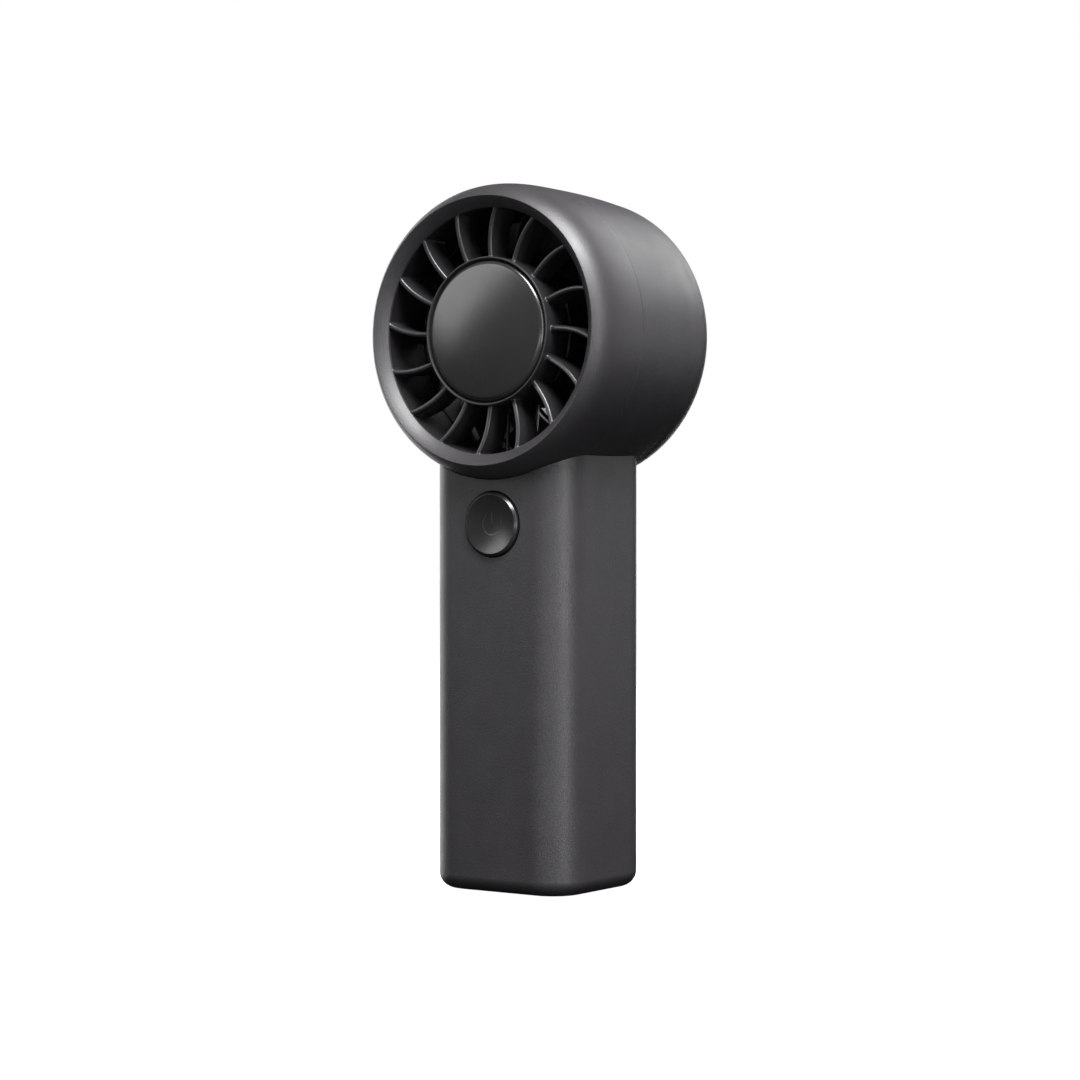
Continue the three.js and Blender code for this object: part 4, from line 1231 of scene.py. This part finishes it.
# The impeller's plastic is near black: partly its own black and partly painted shade, which keeps the blades dark
# inside the duct.
rotor_plastic = grained_plastic(
    "rotor_plastic",
    (0.006, 0.006, 0.0063),
    0.5,
    grain=0.2,
    depth=0.006,
    Specular_IOR_Level=0.35,
)
frame_plastic = grained_plastic("frame_plastic", (0.09, 0.092, 0.096), 0.5, 0.2, 0.01)
pale_plastic = grained_plastic("pale_plastic", (0.62, 0.6, 0.55), 0.42, 0.2, 0.006)
steel = brushed_metal("steel", (0.52, 0.52, 0.54), 0.3, (1, 1, 8))
nickel = brushed_metal("nickel", (0.62, 0.58, 0.52), 0.26, (6, 1, 1))
gold = brushed_metal("gold_plate", (0.85, 0.6, 0.25), 0.25, (1, 6, 1))
CAD_LOOKS = {
    "steel": steel,
    "nickel": nickel,
    "magnet": magnet_material(),
    "copper": copper_winding(),
    "circuit_board": circuit_board(),
    "frame_plastic": frame_plastic,
    "cell_wrap": cell_wrap(),
    "lead_red": rubber_lead("red_lead", (0.42, 0.02, 0.015)),
    "lead_black": rubber_lead("black_lead", (0.012, 0.012, 0.013)),
    "component": component_body(),
    "pale_plastic": pale_plastic,
    "housing": shell_plastic,
    "grille": grille_plastic,
    "cap": cap_plastic,
    "button": button_plastic,
    "rotor_plastic": rotor_plastic,
}


# ---- The fan ----

finished(front_bezel(), "housing", shell_plastic, ["front_bezel"])
finished(
    rear_shell(),
    "housing",
    shell_plastic,
    ["rear_shell"],
    # The duct's inner wall is painted shade.
    bands=[(duct_painted_shade, DUCT_R - 0.1, DUCT_R + 0.1)],
)
finished(
    front_grille(),
    "housing",
    grille_plastic,
    ["front_grille"],
    # The hub's middle is a rougher plastic; the duct ring is painted shade.
    bands=[(hub_plastic, 0, HUB_R - 0.04), (duct_painted_shade, DUCT_R - 0.02, HEAD_R)],
)
finished(hub_cap(), "housing", cap_plastic, ["hub_cap"])
finished(rear_grille(), "housing", grille_plastic, ["rear_grille"])
finished(impeller(), "rotor", rotor_plastic, ["impeller"])
finished(sleeve(), "housing", shell_plastic, ["handle_sleeve"])
finished(base_cap(), "housing", shell_plastic, ["base_cap"])
for number, where in ((1, -1), (2, 1)):
    finished(base_screw(number, where), "housing", steel, [f"base_screw_{number}"])
finished(button_cap(), "button", button_plastic, ["button_cap"])
finished(power_mark(), "button", printed_mark())
finished(usb_shell(), "housing", steel, ["usb_socket"])
finished(usb_tongue(), "housing", CAD_LOOKS["component"])
finished(usb_contacts(), "housing", gold)

# The pieces that aren't replaced above keep their own shapes, with these materials.
slots = {part["node"]: part["material_slot"] for part in frame["record"]["subparts"]}
for name, node in frame["nodes"].items():
    if node.hide_render:
        continue
    look = CAD_LOOKS[slots[name]]
    for material_slot in node.material_slots:
        material_slot.material = look


# ---- Stage ----

def direction(azimuth, elevation):
    """The way from the fan towards a place seen at these angles from its front, in degrees."""
    a, e = math.radians(azimuth), math.radians(elevation)
    return Vector((math.sin(a) * math.cos(e), -math.cos(a) * math.cos(e), math.sin(e)))


def softbox(name, azimuth, elevation, size, power, distance=0.6, roll=0):
    """A rectangular lamp turned to the fan, its size and distance in metres, its power in watts."""
    light = bpy.data.lights.new(name, "AREA")
    light.shape = "RECTANGLE"
    light.size, light.size_y = size
    light.energy = power
    lamp = bpy.data.objects.new(name, light)
    away = direction(azimuth, elevation)
    lamp.location = Vector((0, 0, AIM_Z * MM)) + away * distance
    about_beam = Matrix.Rotation(math.radians(roll), 3, "Z")
    lamp.rotation_euler = (away.to_track_quat("Z", "Y").to_matrix() @ about_beam).to_euler()
    lamp.visible_camera = False
    bpy.context.scene.collection.objects.link(lamp)


def camera():
    lens = bpy.data.cameras.new("camera")
    lens.sensor_width = 36
    lens.lens = CAMERA_FOCAL
    lens.clip_start = 0.01
    eye = bpy.data.objects.new("camera", lens)
    away = direction(CAMERA_AZIMUTH, 0)
    eye.location = (Vector((0, CAMERA_TARGET_Y, CAMERA_Z)) + away * CAMERA_DISTANCE) * MM
    eye.rotation_euler = away.to_track_quat("Z", "Y").to_euler()
    bpy.context.scene.collection.objects.link(eye)
    bpy.context.scene.camera = eye


def floor():
    """A plain floor as bright as the backdrop, so that no horizon shows."""
    mesh = bpy.data.meshes.new("floor")
    half = FLOOR_HALF
    corners = [(-half, -half), (half, -half), (half, half), (-half, half)]
    mesh.from_pydata([Vector((x, y, -FLOOR_DROP)) * MM for x, y in corners], [], [(0, 1, 2, 3)])
    ground = bpy.data.objects.new("floor", mesh)
    bpy.context.scene.collection.objects.link(ground)
    paint = bpy.data.materials.new("floor")
    paint.use_nodes = True
    shader = paint.node_tree.nodes["Principled BSDF"]
    shader.inputs["Base Color"].default_value = (0.85, 0.85, 0.85, 1)
    shader.inputs["Roughness"].default_value = 1
    shader.inputs["Specular IOR Level"].default_value = 0
    shader.inputs["Emission Color"].default_value = (1, 1, 1, 1)
    shader.inputs["Emission Strength"].default_value = 1
    mesh.materials.append(paint)
    ground.visible_diffuse = False
    ground.visible_glossy = False
    ground.visible_shadow = False


def surroundings():
    """A white backdrop that lights nothing."""
    world = bpy.data.worlds.new("studio")
    world.use_nodes = True
    background = world.node_tree.nodes["Background"]
    background.inputs["Color"].default_value = (1, 1, 1, 1)
    background.inputs["Strength"].default_value = 1
    bpy.context.scene.world = world
    world.cycles_visibility.diffuse = False
    world.cycles_visibility.glossy = False
    bpy.context.scene.view_settings.view_transform = "Standard"


camera()
floor()
surroundings()
softbox("key", 50, 57, (0.36, 0.3), 13.8)
softbox("key_side", 68, 8, (0.12, 0.5), 2)
softbox("fill_front", 0, 25, (0.9, 0.7), 0.05, distance=1)
softbox("upper_left", -40.5, 24, (0.42, 0.22), 1.35, roll=45)
softbox("back_right", 165, 32, (0.4, 0.3), 1.5)
softbox("side_right", 138, 4, (0.5, 0.2), 0.32)
softbox("rim_left", -108, 5, (0.5, 0.6), 2.4)
softbox("back_left", -150, 0, (0.4, 0.3), 0.9)
softbox("low_front", 30, -4, (0.8, 0.07), 0.85)
softbox("bounce", 25, -45, (0.8, 0.8), 0.32)
